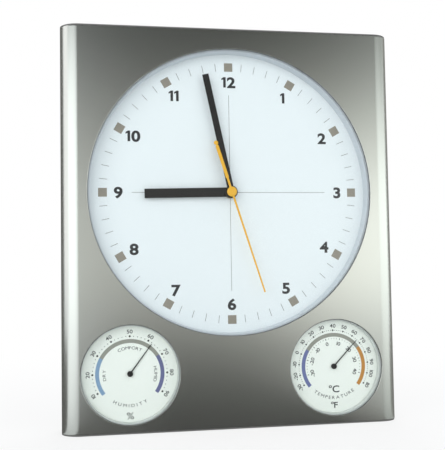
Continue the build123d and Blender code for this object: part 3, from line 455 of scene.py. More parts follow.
def sheet_profile(low, high, inset):
    """Half plan of the bent sheet from its rear lip to the start of the flat, on the left."""
    lip = arc_points(
        low.x + LIP_RADIUS, high.y - LIP_RADIUS, LIP_RADIUS - inset, 90, 180, LIP_STEPS
    )
    bend = arc_points(
        low.x + BEND_RADIUS, low.y + BEND_RADIUS, BEND_RADIUS - inset, 180, 270, BEND_STEPS
    )
    flat_start = (low.x + BEND_RADIUS + HOLDING_STRIP, low.y + inset)
    return [(low.x + LIP_WIDTH, high.y - inset), *lip, *bend, flat_start]


def circle_points(centre_x, centre_z, radius):
    """Points of a round opening."""
    return [
        (
            centre_x + radius * math.cos(2 * math.pi * step / HOLE_STEPS),
            centre_z + radius * math.sin(2 * math.pi * step / HOLE_STEPS),
        )
        for step in range(HOLE_STEPS)
    ]


def holed_face(maker, rectangle, holes, depth, facing):
    """Flat face with round holes, facing the front or the back."""
    edges = []
    for outline in (rectangle, *holes):
        corners = [maker.verts.new((x, depth, z)) for x, z in outline]
        edges += [
            maker.edges.new((corner, corners[(index + 1) % len(corners)]))
            for index, corner in enumerate(corners)
        ]
    made = bmesh.ops.triangle_fill(
        maker, edges=edges, use_beauty=True, normal=Vector((0, facing, 0))
    )
    for item in made["geom"]:
        if isinstance(item, bmesh.types.BMFace):
            item.smooth = False
            if item.normal.y * facing < 0:
                item.normal_flip()


def strip(maker, first, second, smooth=True, closed=False):
    """Quads between two rows of points."""
    rows = [[maker.verts.new(point) for point in row] for row in (first, second)]
    count = len(rows[0])
    for index in range(count if closed else count - 1):
        after = (index + 1) % count
        face = maker.faces.new((rows[0][index], rows[0][after], rows[1][after], rows[1][index]))
        face.smooth = smooth


def hole_wall(maker, centre, radius, front, back):
    """Rounded front edge and wall of an opening."""
    rows = []
    for step in range(EDGE_STEPS + 1):
        angle = math.radians(90 * step / EDGE_STEPS)
        size = radius + EDGE_ROUND * (1 - math.sin(angle))
        rows.append((size, front + EDGE_ROUND * (1 - math.cos(angle))))
    rows.append((radius, back))
    rings = [
        [Vector((x, depth, z)) for x, z in circle_points(*centre, size)] for size, depth in rows
    ]
    for first, second in zip(rings, rings[1:]):
        strip(maker, first, second, smooth=True, closed=True)


def row_heights(low, high, trim):
    """Heights of the rows of the sheet's mesh: close to each end a holding row."""
    return (low + trim, low + trim + HOLDING_ROW, high - trim - HOLDING_ROW, high - trim)


def front_sheet():
    """The bent and brushed sheet with its three round openings."""
    low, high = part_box("front_panel")
    clock = middle_of("dial")
    left = middle_of("hygrometer_dial")
    right = middle_of("thermometer_dial")
    openings = (
        ((clock.x, clock.z), CLOCK_OPENING),
        ((left.x, left.z), GAUGE_OPENING),
        ((right.x, right.z), GAUGE_OPENING),
    )
    maker = bmesh.new()
    flat_left = low.x + BEND_RADIUS + HOLDING_STRIP
    flat_right = -flat_left
    for depth, facing, edge in ((low.y, -1, EDGE_ROUND), (low.y + SHEET_THICKNESS, 1, 0)):
        heights = row_heights(low.z, high.z, edge)
        rectangle = [(flat_right, height) for height in heights]
        rectangle += [(flat_left, height) for height in reversed(heights)]
        holes = [circle_points(*centre, radius + edge) for centre, radius in openings]
        holed_face(maker, rectangle, holes, depth, facing)
    for centre, radius in openings:
        hole_wall(maker, centre, radius, low.y, low.y + SHEET_THICKNESS)
    outer = sheet_profile(low, high, 0)
    rounded = sheet_profile(low, high, EDGE_ROUND)
    inner = sheet_profile(low, high, SHEET_THICKNESS)
    for side in (1, -1):

        def row(points, height, side=side):
            return [Vector((side * x, y, height)) for x, y in points]

        for points, trim in ((outer, EDGE_ROUND), (inner, 0)):
            heights = row_heights(low.z, high.z, trim)
            for lower, upper in zip(heights, heights[1:]):
                strip(maker, row(points, lower), row(points, upper))
        for end, step in ((low.z, EDGE_ROUND), (high.z, -EDGE_ROUND)):
            strip(maker, row(outer, end + step), row(rounded, end), smooth=False)
            strip(maker, row(rounded, end), row(inner, end), smooth=False)
        lip_outer = Vector((side * outer[0][0], outer[0][1], 0))
        lip_inner = Vector((side * inner[0][0], inner[0][1], 0))
        foot, top = Vector((0, 0, low.z)), Vector((0, 0, high.z))
        strip(
            maker,
            [lip_outer + foot, lip_inner + foot],
            [lip_outer + top, lip_inner + top],
            smooth=False,
        )
    for end, step in ((low.z, EDGE_ROUND), (high.z, -EDGE_ROUND)):
        ends = (flat_left, flat_right)
        strip(
            maker,
            [Vector((x, low.y, end + step)) for x in ends],
            [Vector((x, low.y + EDGE_ROUND, end)) for x in ends],
            smooth=False,
        )
        strip(
            maker,
            [Vector((x, low.y + EDGE_ROUND, end)) for x in ends],
            [Vector((x, low.y + SHEET_THICKNESS, end)) for x in ends],
            smooth=False,
        )
    bmesh.ops.remove_doubles(maker, verts=maker.verts, dist=WELD)
    bmesh.ops.recalc_face_normals(maker, faces=maker.faces)
    piece("front_sheet", maker, aluminium, "case", "front_sheet", "front_panel")


def opening_tape():
    """Dark ring between the sheet and the glass, painted shade of the gap: a fine line round each
    opening.
    """
    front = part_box("front_panel")[0].y + SHEET_THICKNESS
    maker = bmesh.new()
    for node, radius in (
        ("dial", CLOCK_OPENING),
        ("hygrometer_dial", GAUGE_OPENING),
        ("thermometer_dial", GAUGE_OPENING),
    ):
        centre = middle_of(node)
        rings = [
            [Vector((x, depth, z)) for x, z in circle_points(centre.x, centre.z, size)]
            for size, depth in (
                (radius + SHADE_RING_WIDTH, front),
                (radius - SHADE_RING_SHOW, front),
                (radius - SHADE_RING_SHOW, front + SHADE_RING_THICKNESS),
                (radius + SHADE_RING_WIDTH, front + SHADE_RING_THICKNESS),
            )
        ]
        for first, second in zip(rings, rings[1:] + rings[:1]):
            strip(maker, first, second, smooth=False, closed=True)
    bmesh.ops.remove_doubles(maker, verts=maker.verts, dist=WELD)
    bmesh.ops.recalc_face_normals(maker, faces=maker.faces)
    piece("painted_shadow_ring", maker, SLOT_MATERIALS["chassis"], "case", "chassis")


def raised_outline(maker, outline, place, rear, front, edge):
    """Flat plate with a bevelled front edge, from an outline that runs round once."""
    count = len(outline)
    inner = []
    for index, (x, z) in enumerate(outline):
        before, after = Vector(outline[index - 1]), Vector(outline[(index + 1) % count])
        along = (after - before).normalized()
        inward = Vector((-along.y, along.x))
        inner.append((x + inward.x * edge, z + inward.y * edge))
    rows = []
    for points, depth in ((outline, rear), (outline, front + edge), (inner, front)):
        rows.append([maker.verts.new(place(x, z, depth)) for x, z in points])
    for first, second in zip(rows, rows[1:]):
        for index in range(count):
            after = (index + 1) % count
            maker.faces.new((first[index], first[after], second[after], second[index]))
    maker.faces.new(rows[0][::-1])
    maker.faces.new(rows[-1])


def second_hand():
    """Needle with a broad tail and a round pad, under a domed cap."""
    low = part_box("second_hand")[0]
    clock = middle_of("dial")
    turn = math.radians(SECOND_ANGLE)
    sine, cosine = math.sin(turn), math.cos(turn)

    def place(across, along, depth):
        return (
            clock.x + across * cosine + along * sine,
            low.y + depth,
            clock.z - across * sine + along * cosine,
        )

    pad = SECOND_TAIL - TAIL_PAD
    needle = [
        (-NEEDLE_TIP, SECOND_REACH),
        (-NEEDLE_ROOT, 0),
        (-TAIL_STEM, -TAIL_START + TAIL_SHOULDER),
        (-TAIL_WIDE, -TAIL_START),
        (-TAIL_WIDE, -TAIL_END),
        (-TAIL_NECK, -TAIL_END - TAIL_NECK),
    ]
    outline = list(needle)
    for step in range(PAD_STEPS + 1):
        angle = math.radians(-PAD_OPENING - 2 * (180 - PAD_OPENING) * step / PAD_STEPS)
        outline.append((TAIL_PAD * math.sin(angle), -pad + TAIL_PAD * math.cos(angle)))
    outline += [(-x, along) for x, along in reversed(needle)]
    maker = bmesh.new()
    raised_outline(maker, outline, place, HAND_REAR, HAND_FRONT, HAND_EDGE)
    cap = [
        (HUB_RADIUS, HUB_REAR),
        (HUB_RADIUS, CAP_REAR),
        (CAP_RADIUS, CAP_REAR),
        (CAP_RADIUS, CAP_SIDE),
    ]
    flat_strips = len(cap) - 1
    for step in range(1, CAP_STEPS + 1):
        angle = math.radians(90 * step / (CAP_STEPS + 1))
        cap.append((CAP_RADIUS * math.cos(angle), CAP_SIDE * (1 - math.sin(angle))))
    rings = [
        [Vector((x, low.y + depth, z)) for x, z in circle_points(clock.x, clock.z, size)]
        for size, depth in cap
    ]
    for index, (first, second) in enumerate(zip(rings, rings[1:])):
        strip(maker, first, second, smooth=index >= flat_strips, closed=True)
    for ring in (rings[0], rings[-1]):
        maker.faces.new([maker.verts.new(point) for point in ring])
    bmesh.ops.remove_doubles(maker, verts=maker.verts, dist=WELD)
    bmesh.ops.recalc_face_normals(maker, faces=maker.faces)
    piece(
        "second_hand_form",
        maker,
        SLOT_MATERIALS["hand_amber"],
        "second_hand_group",
        "hand_amber",
        "second_hand",
    )


def middle_of(node):
    """Middle of a CAD node's box."""
    low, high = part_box(node)
    return (low + high) / 2


# Meshes of characters already made, and the outline of the clock's own figure one
GLYPHS = {}
GLYPH_DEPTH = 0.1
GLYPH_RESOLUTION = 6
FIGURE_ONE = (
    (0.15, 0.0),
    (0.36, 0.0),
    (0.36, 1.0),
    (0.19, 1.0),
    (0.0, 0.86),
    (0.0, 0.70),
    (0.15, 0.78),
)


def figure_one(height):
    """Figure one with a slanted flag, as an outline mesh like the font's glyphs."""
    count = len(FIGURE_ONE)
    points = [(x * height, y * height, z) for z in (1, -1) for x, y in FIGURE_ONE]
    sides = [(i, i + count, (i + 1) % count + count, (i + 1) % count) for i in range(count)]
    return points, [tuple(range(count)), tuple(range(2 * count - 1, count - 1, -1)), *sides]


def glyph(character, weight):
    """Mesh of one character in the font's own units, standing on its base line."""
    key = (character, weight)
    if key not in GLYPHS:
        curve = bpy.data.curves.new("glyph", "FONT")
        curve.body = character
        curve.offset = weight
        curve.extrude = GLYPH_DEPTH
        curve.resolution_u = GLYPH_RESOLUTION
        holder = bpy.data.objects.new("glyph", curve)
        bpy.context.scene.collection.objects.link(holder)
        view = bpy.context.evaluated_depsgraph_get()
        view.update()
        mesh = bpy.data.meshes.new_from_object(holder.evaluated_get(view))
        points = [tuple(vertex.co) for vertex in mesh.vertices]
        faces = [tuple(face.vertices) for face in mesh.polygons]
        bpy.data.objects.remove(holder)
        bpy.data.meshes.remove(mesh)
        GLYPHS[key] = (points, faces)
    return GLYPHS[key]


def capital_height(weight):
    """Height of the font's capitals before scaling."""
    points, _ = glyph("H", weight)
    return max(point[1] for point in points)


def characters(text, height, weight, spacing):
    """Each character's shape at its real height, its shift and its middle along the line."""
    tall = capital_height(weight)
    line = []
    cursor = 0.0
    for character in text:
        points, faces = glyph(character, weight)
        if character == "1" and weight == NUMERAL_WEIGHT:
            points, faces = figure_one(tall)
        shape = [(x * STRETCH * height / tall, y * height / tall, z) for x, y, z in points]
        left = min(point[0] for point in shape)
        right = max(point[0] for point in shape)
        line.append((shape, faces, cursor - left, cursor + (right - left) / 2))
        cursor += right - left + spacing
    return line, cursor - spacing


class Print:
    """Ink on the face of a dial: a thin solid layer in one colour."""

    def __init__(self, dial):
        low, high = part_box(dial)
        self.centre = ((low.x + high.x) / 2, (low.z + high.z) / 2)
        self.face = low.y
        self.maker = bmesh.new()

    def point(self, across, up, raised):
        """Corner of the ink in the frame of the model."""
        return (self.centre[0] + across, self.face - (INK if raised else 0), self.centre[1] + up)

    def prism(self, outline):
        """Flat shape given by its outline round the dial's centre."""
        front = [self.maker.verts.new(self.point(x, z, True)) for x, z in outline]
        back = [self.maker.verts.new(self.point(x, z, False)) for x, z in outline]
        self.maker.faces.new(front)
        self.maker.faces.new(back[::-1])
        for index in range(len(outline)):
            after = (index + 1) % len(outline)
            self.maker.faces.new((front[index], back[index], back[after], front[after]))

    def block(self, ring, clock_angle, length, width):
        """Rectangle on a ring, its length pointing to the centre."""
        angle = math.radians(clock_angle)
        out = Vector((math.sin(angle), math.cos(angle)))
        along = Vector((out.y, -out.x))
        middle = out * ring
        self.prism(
            [
                tuple(middle + out * (x * length / 2) + along * (y * width / 2))
                for x, y in ((1, -1), (1, 1), (-1, 1), (-1, -1))
            ]
        )

    def band(self, inner, outer, start, end):
        """Sector of a ring between two clockwise angles, in short steps."""
        steps = max(2, round(abs(end - start) / ARC_STEP_DEGREES))
        for step in range(steps):
            first = math.radians(start + (end - start) * step / steps)
            second = math.radians(start + (end - start) * (step + 1) / steps)
            self.prism(
                [
                    (outer * math.sin(first), outer * math.cos(first)),
                    (outer * math.sin(second), outer * math.cos(second)),
                    (inner * math.sin(second), inner * math.cos(second)),
                    (inner * math.sin(first), inner * math.cos(first)),
                ]
            )

    def dot(self, ring, clock_angle, radius):
        """Round dot on a ring."""
        angle = math.radians(clock_angle)
        middle = (ring * math.sin(angle), ring * math.cos(angle))
        turns = [2 * math.pi * corner / DOT_CORNERS for corner in range(DOT_CORNERS)]
        self.prism(
            [
                (middle[0] + radius * math.sin(turn), middle[1] + radius * math.cos(turn))
                for turn in turns
            ]
        )

    def stamp(self, points, faces, place):
        """Adds a character's mesh through a placing function."""
        corners = [
            self.maker.verts.new(self.point(*place(x, y), raised=z > 0)) for x, y, z in points
        ]
        for face in faces:
            self.maker.faces.new([corners[index] for index in face])

    def word(self, text, height, across, up, weight=0.0, spacing=0.0):
        """Straight text centred on a point."""
        line, width = characters(text, height, weight, spacing)
        for points, faces, shift, _ in line:

            def place(x, y, shift=shift):
                return (across + (x + shift - width / 2), up + (y - height / 2))

            self.stamp(points, faces, place)

    def curved_word(self, text, height, ring, clock_angle, weight=0.0, spacing=0.0, inward=False):
        """Text bent round the dial, tops outward or, if inward, towards the centre."""
        line, width = characters(text, height, weight, spacing)
        way = -1 if inward else 1
        for points, faces, shift, middle in line:
            turn = math.radians(clock_angle + way * math.degrees((middle - width / 2) / ring))
            out = Vector((math.sin(turn), math.cos(turn)))
            along = Vector((out.y, -out.x)) * way

            def place(x, y, shift=shift, middle=middle, out=out, along=along):
                sideways = x + shift - middle
                upwards = (y - height / 2) * way
                return tuple(out * (ring + upwards) + along * sideways)

            self.stamp(points, faces, place)

    def number(self, value, ring, clock_angle, spacing):
        """Number of a scale, bent round the dial."""
        self.curved_word(str(value), SCALE_NUMBER_HEIGHT, ring, clock_angle, SCALE_WEIGHT, spacing)

    def finish(self, name, material, slot):
        """The ink as a piece of its own."""
        bmesh.ops.recalc_face_normals(self.maker, faces=self.maker.faces)
        piece(name, self.maker, material, "case", slot)


ink_black = painted("ink_black", (0.035, 0.032, 0.034), 0.5)
ink_grey = painted("ink_grey", (0.30, 0.262, 0.215), 0.5)
ink_line = painted("ink_line", (0.25, 0.25, 0.245), 0.5)
ink_scale = painted("ink_scale", (0.035, 0.035, 0.035), 0.5)
ink_light_blue = painted("ink_light_blue", (0.24, 0.37, 0.55), 0.5)
ink_violet = painted("ink_violet", (0.15, 0.155, 0.31), 0.5)
ink_arc_grey = painted("ink_arc_grey", (0.32, 0.315, 0.27), 0.5)
ink_blue = painted("ink_blue", (0.16, 0.18, 0.38), 0.5)
ink_orange = painted("ink_orange", (0.55, 0.24, 0.045), 0.5)


def clock_print():
    """Numerals, five-minute squares, minute ticks and the fine cross."""
    numerals = Print("dial")
    squares = Print("dial")
    lines = Print("dial")
    for hour in range(1, 13):
        hour_angle = HOUR_ANGLE * hour
        angle = math.radians(hour_angle)
        numerals.word(
            str(hour),
            NUMERAL_HEIGHT,
            NUMERAL_RING * math.sin(angle),
            NUMERAL_RING * math.cos(angle),
            weight=NUMERAL_WEIGHT,
            spacing=NUMERAL_SPACING,
        )
        squares.block(SQUARE_RING, hour_angle, SQUARE_SIZE, SQUARE_SIZE)
        for minute in range(1, 5):
            tick_angle = hour_angle + MINUTE_ANGLE * minute
            lines.block(SQUARE_RING, tick_angle, MINUTE_TICK, MINUTE_TICK_WIDTH)
    for quarter in range(4):
        lines.block(CROSS_REACH / 2, 90 * quarter, CROSS_REACH, CROSS_WIDTH)
    numerals.finish("dial_numerals", ink_black, "dial_white")
    squares.finish("dial_squares", ink_grey, "dial_white")
    lines.finish("dial_lines", ink_line, "dial_white")


def gauge_arcs(gauge, parts):
    """Coloured bands of a gauge's scale."""
    for number, (material, start, end) in enumerate(parts, 1):
        band = Print(f"{gauge}_dial")
        band.band(ARC_INNER, ARC_OUTER, start, end)
        band.finish(f"{gauge}_arc_{number}", material, "gauge_dial")


def hygrometer_print():
    """Humidity scale from 10 to 90, its bands and words."""
    scale = Print("hygrometer_dial")
    for percent in HUMIDITY_MARKS:
        angle = DEGREES_PER_PERCENT * (percent - MIDDLE_PERCENT)
        if percent % 10:
            scale.dot(SCALE_DOTS, angle, HUMIDITY_DOT)
        else:
            scale.dot(SCALE_DOTS, angle, HUMIDITY_MAIN_DOT)
            scale.number(percent, SCALE_NUMBERS, angle, HUMIDITY_SPACING)
    for text, angle, spacing in HUMIDITY_WORDS:
        scale.curved_word(text, WORD_HEIGHT, WORD_RING, angle, spacing=spacing)
    scale.curved_word(
        "HUMIDITY",
        HUMIDITY_WORD_HEIGHT,
        HUMIDITY_WORD_RING,
        FOOT_ANGLE,
        spacing=HUMIDITY_WORD_SPACING,
        inward=True,
    )
    scale.word("%", PERCENT_HEIGHT, 0, -PERCENT_DROP)
    scale.finish("hygrometer_scale", ink_scale, "gauge_dial")
    gauge_arcs(
        "hygrometer",
        ((ink_light_blue, -127, -61), (ink_arc_grey, -61, 58), (ink_violet, 58, 126)),
    )


def thermometer_print():
    """Fahrenheit scale outside, Celsius scale inside, bands and words."""
    scale = Print("thermometer_dial")
    for fahrenheit in FAHRENHEIT_MARKS:
        above_start = fahrenheit - FAHRENHEIT_MARKS.start
        angle = FAHRENHEIT_START_ANGLE + DEGREES_PER_FAHRENHEIT * above_start
        if fahrenheit % 10:
            scale.dot(SCALE_DOTS, angle, FAHRENHEIT_DOT)
        else:
            scale.dot(SCALE_DOTS, angle, FAHRENHEIT_MAIN_DOT)
            scale.number(fahrenheit, SCALE_NUMBERS, angle, TEMPERATURE_SPACING)
    for celsius in CELSIUS_MARKS:
        angle = CELSIUS_ZERO_ANGLE + DEGREES_PER_CELSIUS * celsius
        if celsius % 10:
            scale.block(INNER_TICKS, angle, *INNER_TICK)
        else:
            scale.block(INNER_TICKS, angle, *INNER_MAIN_TICK)
            scale.number(celsius, INNER_NUMBERS, angle, TEMPERATURE_SPACING)
    for sign, (height, up, spacing) in (("°C", CELSIUS_SIGN), ("°F", FAHRENHEIT_SIGN)):
        scale.word(sign, height, 0, up, SCALE_WEIGHT, spacing)
    scale.curved_word(
        "TEMPERATURE",
        TEMPERATURE_WORD_HEIGHT,
        TEMPERATURE_WORD_RING,
        FOOT_ANGLE,
        spacing=TEMPERATURE_WORD_SPACING,
        inward=True,
    )
    scale.finish("thermometer_scale", ink_scale, "gauge_dial")
    gauge_arcs(
        "thermometer",
        ((ink_blue, -128, -58), (ink_arc_grey, -58, 54.5), (ink_orange, 54.5, 127)),
    )


# Floor, and how it fades to white for the camera: distances in metres, and shares of white
FLOOR_REACH = 6.0
FLOOR_GAP = 0.2 * MM
FLOOR_COLOUR = (0.86, 0.86, 0.86, 1.0)
FADE_DISTANCES = (0.15, 0.75)
FADE_SHARES = (0.78, 1.0)


def pale_floor():
    """Pale floor: lit near the object, where its shadow falls, and white further away."""
    material = bare_material("pale_floor")
    tree = material.node_tree
    diffuse = tree.nodes.new("ShaderNodeBsdfDiffuse")
    diffuse.inputs["Color"].default_value = FLOOR_COLOUR
    white = tree.nodes.new("ShaderNodeEmission")
    white.inputs["Color"].default_value = WHITE
    light_path = tree.nodes.new("ShaderNodeLightPath")
    place = tree.nodes.new("ShaderNodeTexCoord")
    distance = tree.nodes.new("ShaderNodeVectorMath")
    distance.operation = "LENGTH"
    tree.links.new(place.outputs["Object"], distance.inputs[0])
    fade = mapped(tree, distance.outputs["Value"], FADE_DISTANCES, FADE_SHARES)
    share = maths(tree, "MULTIPLY", fade, light_path.outputs["Is Camera Ray"])
    shaders = (diffuse.outputs["BSDF"], white.outputs["Emission"])
    mixed(tree, share, *shaders, tree.nodes["Material Output"])
    return material


def stage_plane(name, corners, material):
    """Flat stage piece through four corners."""
    mesh = bpy.data.meshes.new(name)
    mesh.from_pydata(corners, [], [(0, 1, 2, 3)])
    mesh.materials.append(material)
    made = bpy.data.objects.new(name, mesh)
    bpy.context.scene.collection.objects.link(made)
    return made


# Share of blue in the grey of a card that has one level
CARD_BLUE = 0.95


def reflection_card(name, corners, grey):
    """Glowing card outside the picture that only reflections see."""
    material = new_material(name, (grey, grey, grey), 1.0)
    shader = shader_of(material)
    shader.inputs["Base Color"].default_value = (0, 0, 0, 1)
    shader.inputs["Specular IOR Level"].default_value = 0
    shader.inputs["Emission Color"].default_value = (grey, grey, grey * CARD_BLUE, 1)
    shader.inputs["Emission Strength"].default_value = 1.0
    made = stage_plane(name, corners, material)
    made.visible_camera = False
    made.visible_diffuse = False
    made.visible_transmission = False
    made.visible_shadow = False
    return made


def graded(tree, coordinate, stops, tint):
    """Grey that follows stops of place and level along one coordinate, in a tint."""
    low, high = stops[0][0], stops[-1][0]
    ramp = tree.nodes.new("ShaderNodeValToRGB")
    elements = ramp.color_ramp.elements
    while len(elements) < len(stops):
        elements.new(0.5)
    for element, (place, level) in zip(elements, stops):
        element.position = (place - low) / (high - low)
        element.color = (*(level * channel for channel in tint), 1.0)
    tree.links.new(mapped(tree, coordinate, (low, high)), ramp.inputs["Fac"])
    return ramp.outputs["Color"]


# Tint of the light from each side: slightly cool at the left, slightly green at the right
PLAIN_TINT = (1.0, 1.0, 0.96)
COOL_TINT = (0.96, 1.0, 1.0)
GREEN_TINT = (0.955, 1.0, 0.965)
CARD_TINTS = {
    "left_card": COOL_TINT,
    "left_floor_card": COOL_TINT,
    "right_card": GREEN_TINT,
    "far_right_card": GREEN_TINT,
    "right_floor_card": GREEN_TINT,
}

# Grey of the room that the metal mirrors: by height, and from left to right, in metres
FRONT_BY_HEIGHT = (
    (0.0, 0.55),
    (0.1, 0.57),
    (0.25, 0.60),
    (0.4, 0.48),
    (0.6, 0.25),
    (0.75, 0.12),
    (0.9, 0.03),
    (1.1, 0.0),
    (3.0, 0.0),
)
FRONT_ACROSS = ((-0.35, 0.4), (-0.1, 0.36), (0.3, 0.3), (0.7, 0.85), (1.0, 1.3))
LEFT_BY_HEIGHT = ((0.0, 1.05), (0.7, 1.05), (0.85, 0.85), (1.0, 0.35), (1.2, 0.1), (3.0, 0.05))
RIGHT_BY_HEIGHT = (
    (0.0, 1.05),
    (0.2, 1.3),
    (0.45, 1.3),
    (0.7, 0.85),
    (0.85, 0.5),
    (1.1, 0.2),
    (3.0, 0.1),
)
RIGHT_FLOOR_ACROSS = ((0.15, 0.35), (0.25, 0.5), (0.5, 0.65), (1.0, 0.9), (3.0, 1.0))
LEFT_FLOOR_ACROSS = ((-2.2, 1.0), (-0.5, 0.95), (-0.25, 0.75), (-0.15, 0.5))
LOWER_ACROSS = ((-0.17, 0.11), (-0.05, 0.04), (0.1, 0.05), (0.16, 0.25), (0.3, 0.31))
LOWER_FAR_ACROSS = ((-0.17, 0.2), (0.0, 0.06), (0.2, 0.06), (0.3, 0.14), (0.5, 0.42), (0.75, 0.6))
CARD_HEIGHT = 3.0
CARD_LIFT = 0.3 * MM
REAR_CARD_HEIGHT = 1.0
LEFT_END = (-2.2, -0.8)
LEFT_TURN = (-0.35, -2.2)
RIGHT_TURN = (1.0, -2.2)
RIGHT_END = (2.4, -0.9)
RIGHT_REAR = (2.4, 0.2)

# Upright cards: name, level, left and right foot, height, levels by height and across
UPRIGHT_CARDS = (
    ("front_card", 2.0, LEFT_TURN, RIGHT_TURN, CARD_HEIGHT, FRONT_BY_HEIGHT, FRONT_ACROSS),
    ("left_card", 1.25, LEFT_END, LEFT_TURN, CARD_HEIGHT, LEFT_BY_HEIGHT, None),
    ("right_card", 1.0, RIGHT_TURN, RIGHT_END, CARD_HEIGHT, RIGHT_BY_HEIGHT, None),
    ("far_right_card", 1.0, RIGHT_END, RIGHT_REAR, CARD_HEIGHT, RIGHT_BY_HEIGHT, None),
    ("rear_card", 0.13, (-1.6, 0.5), (-0.17, 0.5), REAR_CARD_HEIGHT, None, None),
    ("rear_right_card", 0.25, (0.2, 0.55), (1.2, 0.13), REAR_CARD_HEIGHT, None, None),
)
CEILING = ((-2.2, -2.2), (2.4, -2.2), (2.4, 0.5), (-2.2, 0.5))
CEILING_LEVEL = 0.1

# Where the floor cards meet: at the bends, half a metre in front, and at the front card
LEFT_FRONT, RIGHT_FRONT = (-0.143, -0.021), (0.143, -0.021)
LEFT_SIDE, RIGHT_SIDE = (-0.152, -0.008), (0.152, -0.008)
LEFT_NEAR, RIGHT_NEAR = (-0.151, -0.5), (0.276, -0.5)
LEFT_FAR, RIGHT_FAR = (-0.18, -2.2), (0.75, -2.2)

# Cards on the floor: name, level, corners, levels across, lift above the floor
FLOOR_CARDS = (
    ("near_floor_card", 0.22, ((-0.5, -0.5), (0.5, -0.5), (0.5, 0.5), (-0.5, 0.5)), None, 0.0),
    (
        "lower_card",
        1.0,
        (LEFT_NEAR, RIGHT_NEAR, RIGHT_FRONT, LEFT_FRONT),
        LOWER_ACROSS,
        CARD_LIFT,
    ),
    (
        "lower_far_card",
        1.0,
        (LEFT_FAR, RIGHT_FAR, RIGHT_NEAR, LEFT_NEAR),
        LOWER_FAR_ACROSS,
        CARD_LIFT,
    ),
    (
        "left_floor_card",
        1.0,
        ((-2.2, -0.4), LEFT_FAR, LEFT_FRONT, LEFT_SIDE),
        LEFT_FLOOR_ACROSS,
        CARD_LIFT,
    ),
    (
        "right_floor_card",
        1.0,
        (RIGHT_FAR, (2.6, -0.4), RIGHT_SIDE, RIGHT_FRONT),
        RIGHT_FLOOR_ACROSS,
        CARD_LIFT,
    ),
    (
        "rear_floor_card",
        0.10,
        ((-1.2, -0.2), (-0.153, -0.008), (-0.153, 0.5), (-1.2, 0.5)),
        None,
        CARD_LIFT,
    ),
    (
        "rear_right_floor_card",
        0.2,
        ((0.153, -0.008), (1.2, -0.15), (0.9, 0.5), (0.2, 0.5)),
        None,
        CARD_LIFT,
    ),
)

# Places of the Mix node's colour sockets, whose names are not unique
MIX_COLOUR_INPUTS = (6, 7)
MIX_COLOUR_OUTPUT = 2


def grade_card(card, level, by_height, across, tint):
    """Lets the level of a card follow its height and its place from left to right."""
    tree = card.active_material.node_tree
    shader = shader_of(card.active_material)
    shader.inputs["Emission Strength"].default_value = level
    place = tree.nodes.new("ShaderNodeTexCoord")
    axes = tree.nodes.new("ShaderNodeSeparateXYZ")
    tree.links.new(place.outputs["Object"], axes.inputs["Vector"])
    shades = [
        graded(tree, axes.outputs[axis], stops, tint)
        for axis, stops in (("Z", by_height), ("X", across))
        if stops
    ]
    if len(shades) == 2:
        both = tree.nodes.new("ShaderNodeMix")
        both.data_type = "RGBA"
        both.blend_type = "MULTIPLY"
        both.inputs["Factor"].default_value = 1.0
        for shade, socket in zip(shades, MIX_COLOUR_INPUTS):
            tree.links.new(shade, both.inputs[socket])
        shades = [both.outputs[MIX_COLOUR_OUTPUT]]
    tree.links.new(shades[0], shader.inputs["Emission Color"])


def room():
    """The floor, and the cards round the object that its metal mirrors."""
    floor_height = cad_box[0].z - FLOOR_GAP
    floor_corners = [
        (x * FLOOR_REACH, y * FLOOR_REACH, floor_height)
        for x, y in ((-1, -1), (1, -1), (1, 1), (-1, 1))
    ]
    stage_plane("floor", floor_corners, pale_floor())
    for name, level, first_foot, second_foot, height, by_height, across in UPRIGHT_CARDS:
        card_corners = [
            (*first_foot, 0.0),
            (*second_foot, 0.0),
            (*second_foot, height),
            (*first_foot, height),
        ]
        card = reflection_card(name, card_corners, level)
        if by_height:
            grade_card(card, level, by_height, across, CARD_TINTS.get(name, PLAIN_TINT))
    reflection_card("ceiling_card", [(*corner, CARD_HEIGHT) for corner in CEILING], CEILING_LEVEL)
    for name, level, corners, across, lift in FLOOR_CARDS:
        card = reflection_card(name, [(*corner, lift) for corner in corners], level)
        if across:
            grade_card(card, level, None, across, CARD_TINTS.get(name, PLAIN_TINT))


# Surroundings: colour and strength of the light that fills the shadows
FILL_COLOUR = (0.93, 0.97, 1.0, 1.0)
FILL_STRENGTH = 0.69


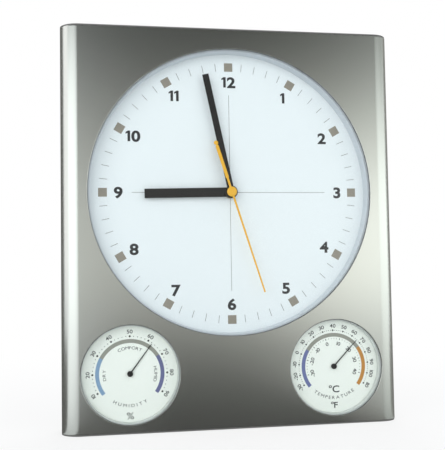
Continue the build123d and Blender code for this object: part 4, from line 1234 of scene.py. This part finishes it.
def surroundings():
    """White to the camera, to reflections and through glass, and a plain fill for the rest."""
    world = bpy.data.worlds.new("surroundings")
    bpy.context.scene.world = world
    world.use_nodes = True
    tree = world.node_tree
    tree.nodes.clear()
    lights = []
    for colour, strength in ((FILL_COLOUR, FILL_STRENGTH), (WHITE, 1.0)):
        light = tree.nodes.new("ShaderNodeBackground")
        light.inputs["Color"].default_value = colour
        light.inputs["Strength"].default_value = strength
        lights.append(light.outputs["Background"])
    rays = tree.nodes.new("ShaderNodeLightPath")
    seen = maths(tree, "MAXIMUM", rays.outputs["Is Camera Ray"], rays.outputs["Is Glossy Ray"])
    seen = maths(tree, "MAXIMUM", seen, rays.outputs["Is Transmission Ray"])
    mixed(tree, seen, *lights, tree.nodes.new("ShaderNodeOutputWorld"))


def soft_lamp(name, place, aim, size, power):
    """Square area lamp aimed at a point, which reflections don't show."""
    lamp = bpy.data.lights.new(name, "AREA")
    lamp.shape = "RECTANGLE"
    lamp.size = lamp.size_y = size
    lamp.energy = power
    holder = bpy.data.objects.new(name, lamp)
    holder.location = place
    holder.rotation_mode = "QUATERNION"
    holder.rotation_quaternion = (Vector(aim) - Vector(place)).to_track_quat("-Z", "Y")
    holder.visible_glossy = False
    bpy.context.scene.collection.objects.link(holder)


# Lamps: name, place and side in metres, power in watts
LAMPS = (
    ("key_lamp", (-1.9, -2.4, 0.9), 3.0, 57.0),
    ("side_lamp", (1.9, -2.4, 1.2), 3.0, 24.0),
    ("rear_lamp", (0.5, 1.6, 1.0), 1.2, 14.0),
)


def photo_camera():
    """Camera at the photograph's place, angle and focal length."""
    turn = (
        Matrix.Rotation(math.radians(CAMERA_YAW), 4, "Z")
        @ Matrix.Rotation(math.radians(CAMERA_PITCH), 4, "X")
        @ Matrix.Rotation(math.radians(CAMERA_ROLL), 4, "Y")
    )
    upright_view = Matrix.Rotation(math.radians(90), 4, "X")
    data = bpy.data.cameras.new("photo_camera")
    data.lens = SENSOR * FOCAL_PIXELS / LONG_SIDE_PIXELS
    data.sensor_width = SENSOR
    data.clip_start = CLIP_START
    data.clip_end = CLIP_END
    camera = bpy.data.objects.new("photo_camera", data)
    camera.matrix_world = Matrix.Translation(CAMERA_PLACE) @ turn @ upright_view
    bpy.context.scene.collection.objects.link(camera)
    bpy.context.scene.camera = camera


front_sheet()
opening_tape()
second_hand()
clock_print()
hygrometer_print()
thermometer_print()
room()
surroundings()
middle = (cad_box[0] + cad_box[1]) / 2
for lamp_name, lamp_place, lamp_size, lamp_power in LAMPS:
    soft_lamp(lamp_name, lamp_place, middle, lamp_size, lamp_power)
photo_camera()
bpy.context.scene.view_settings.view_transform = "Standard"
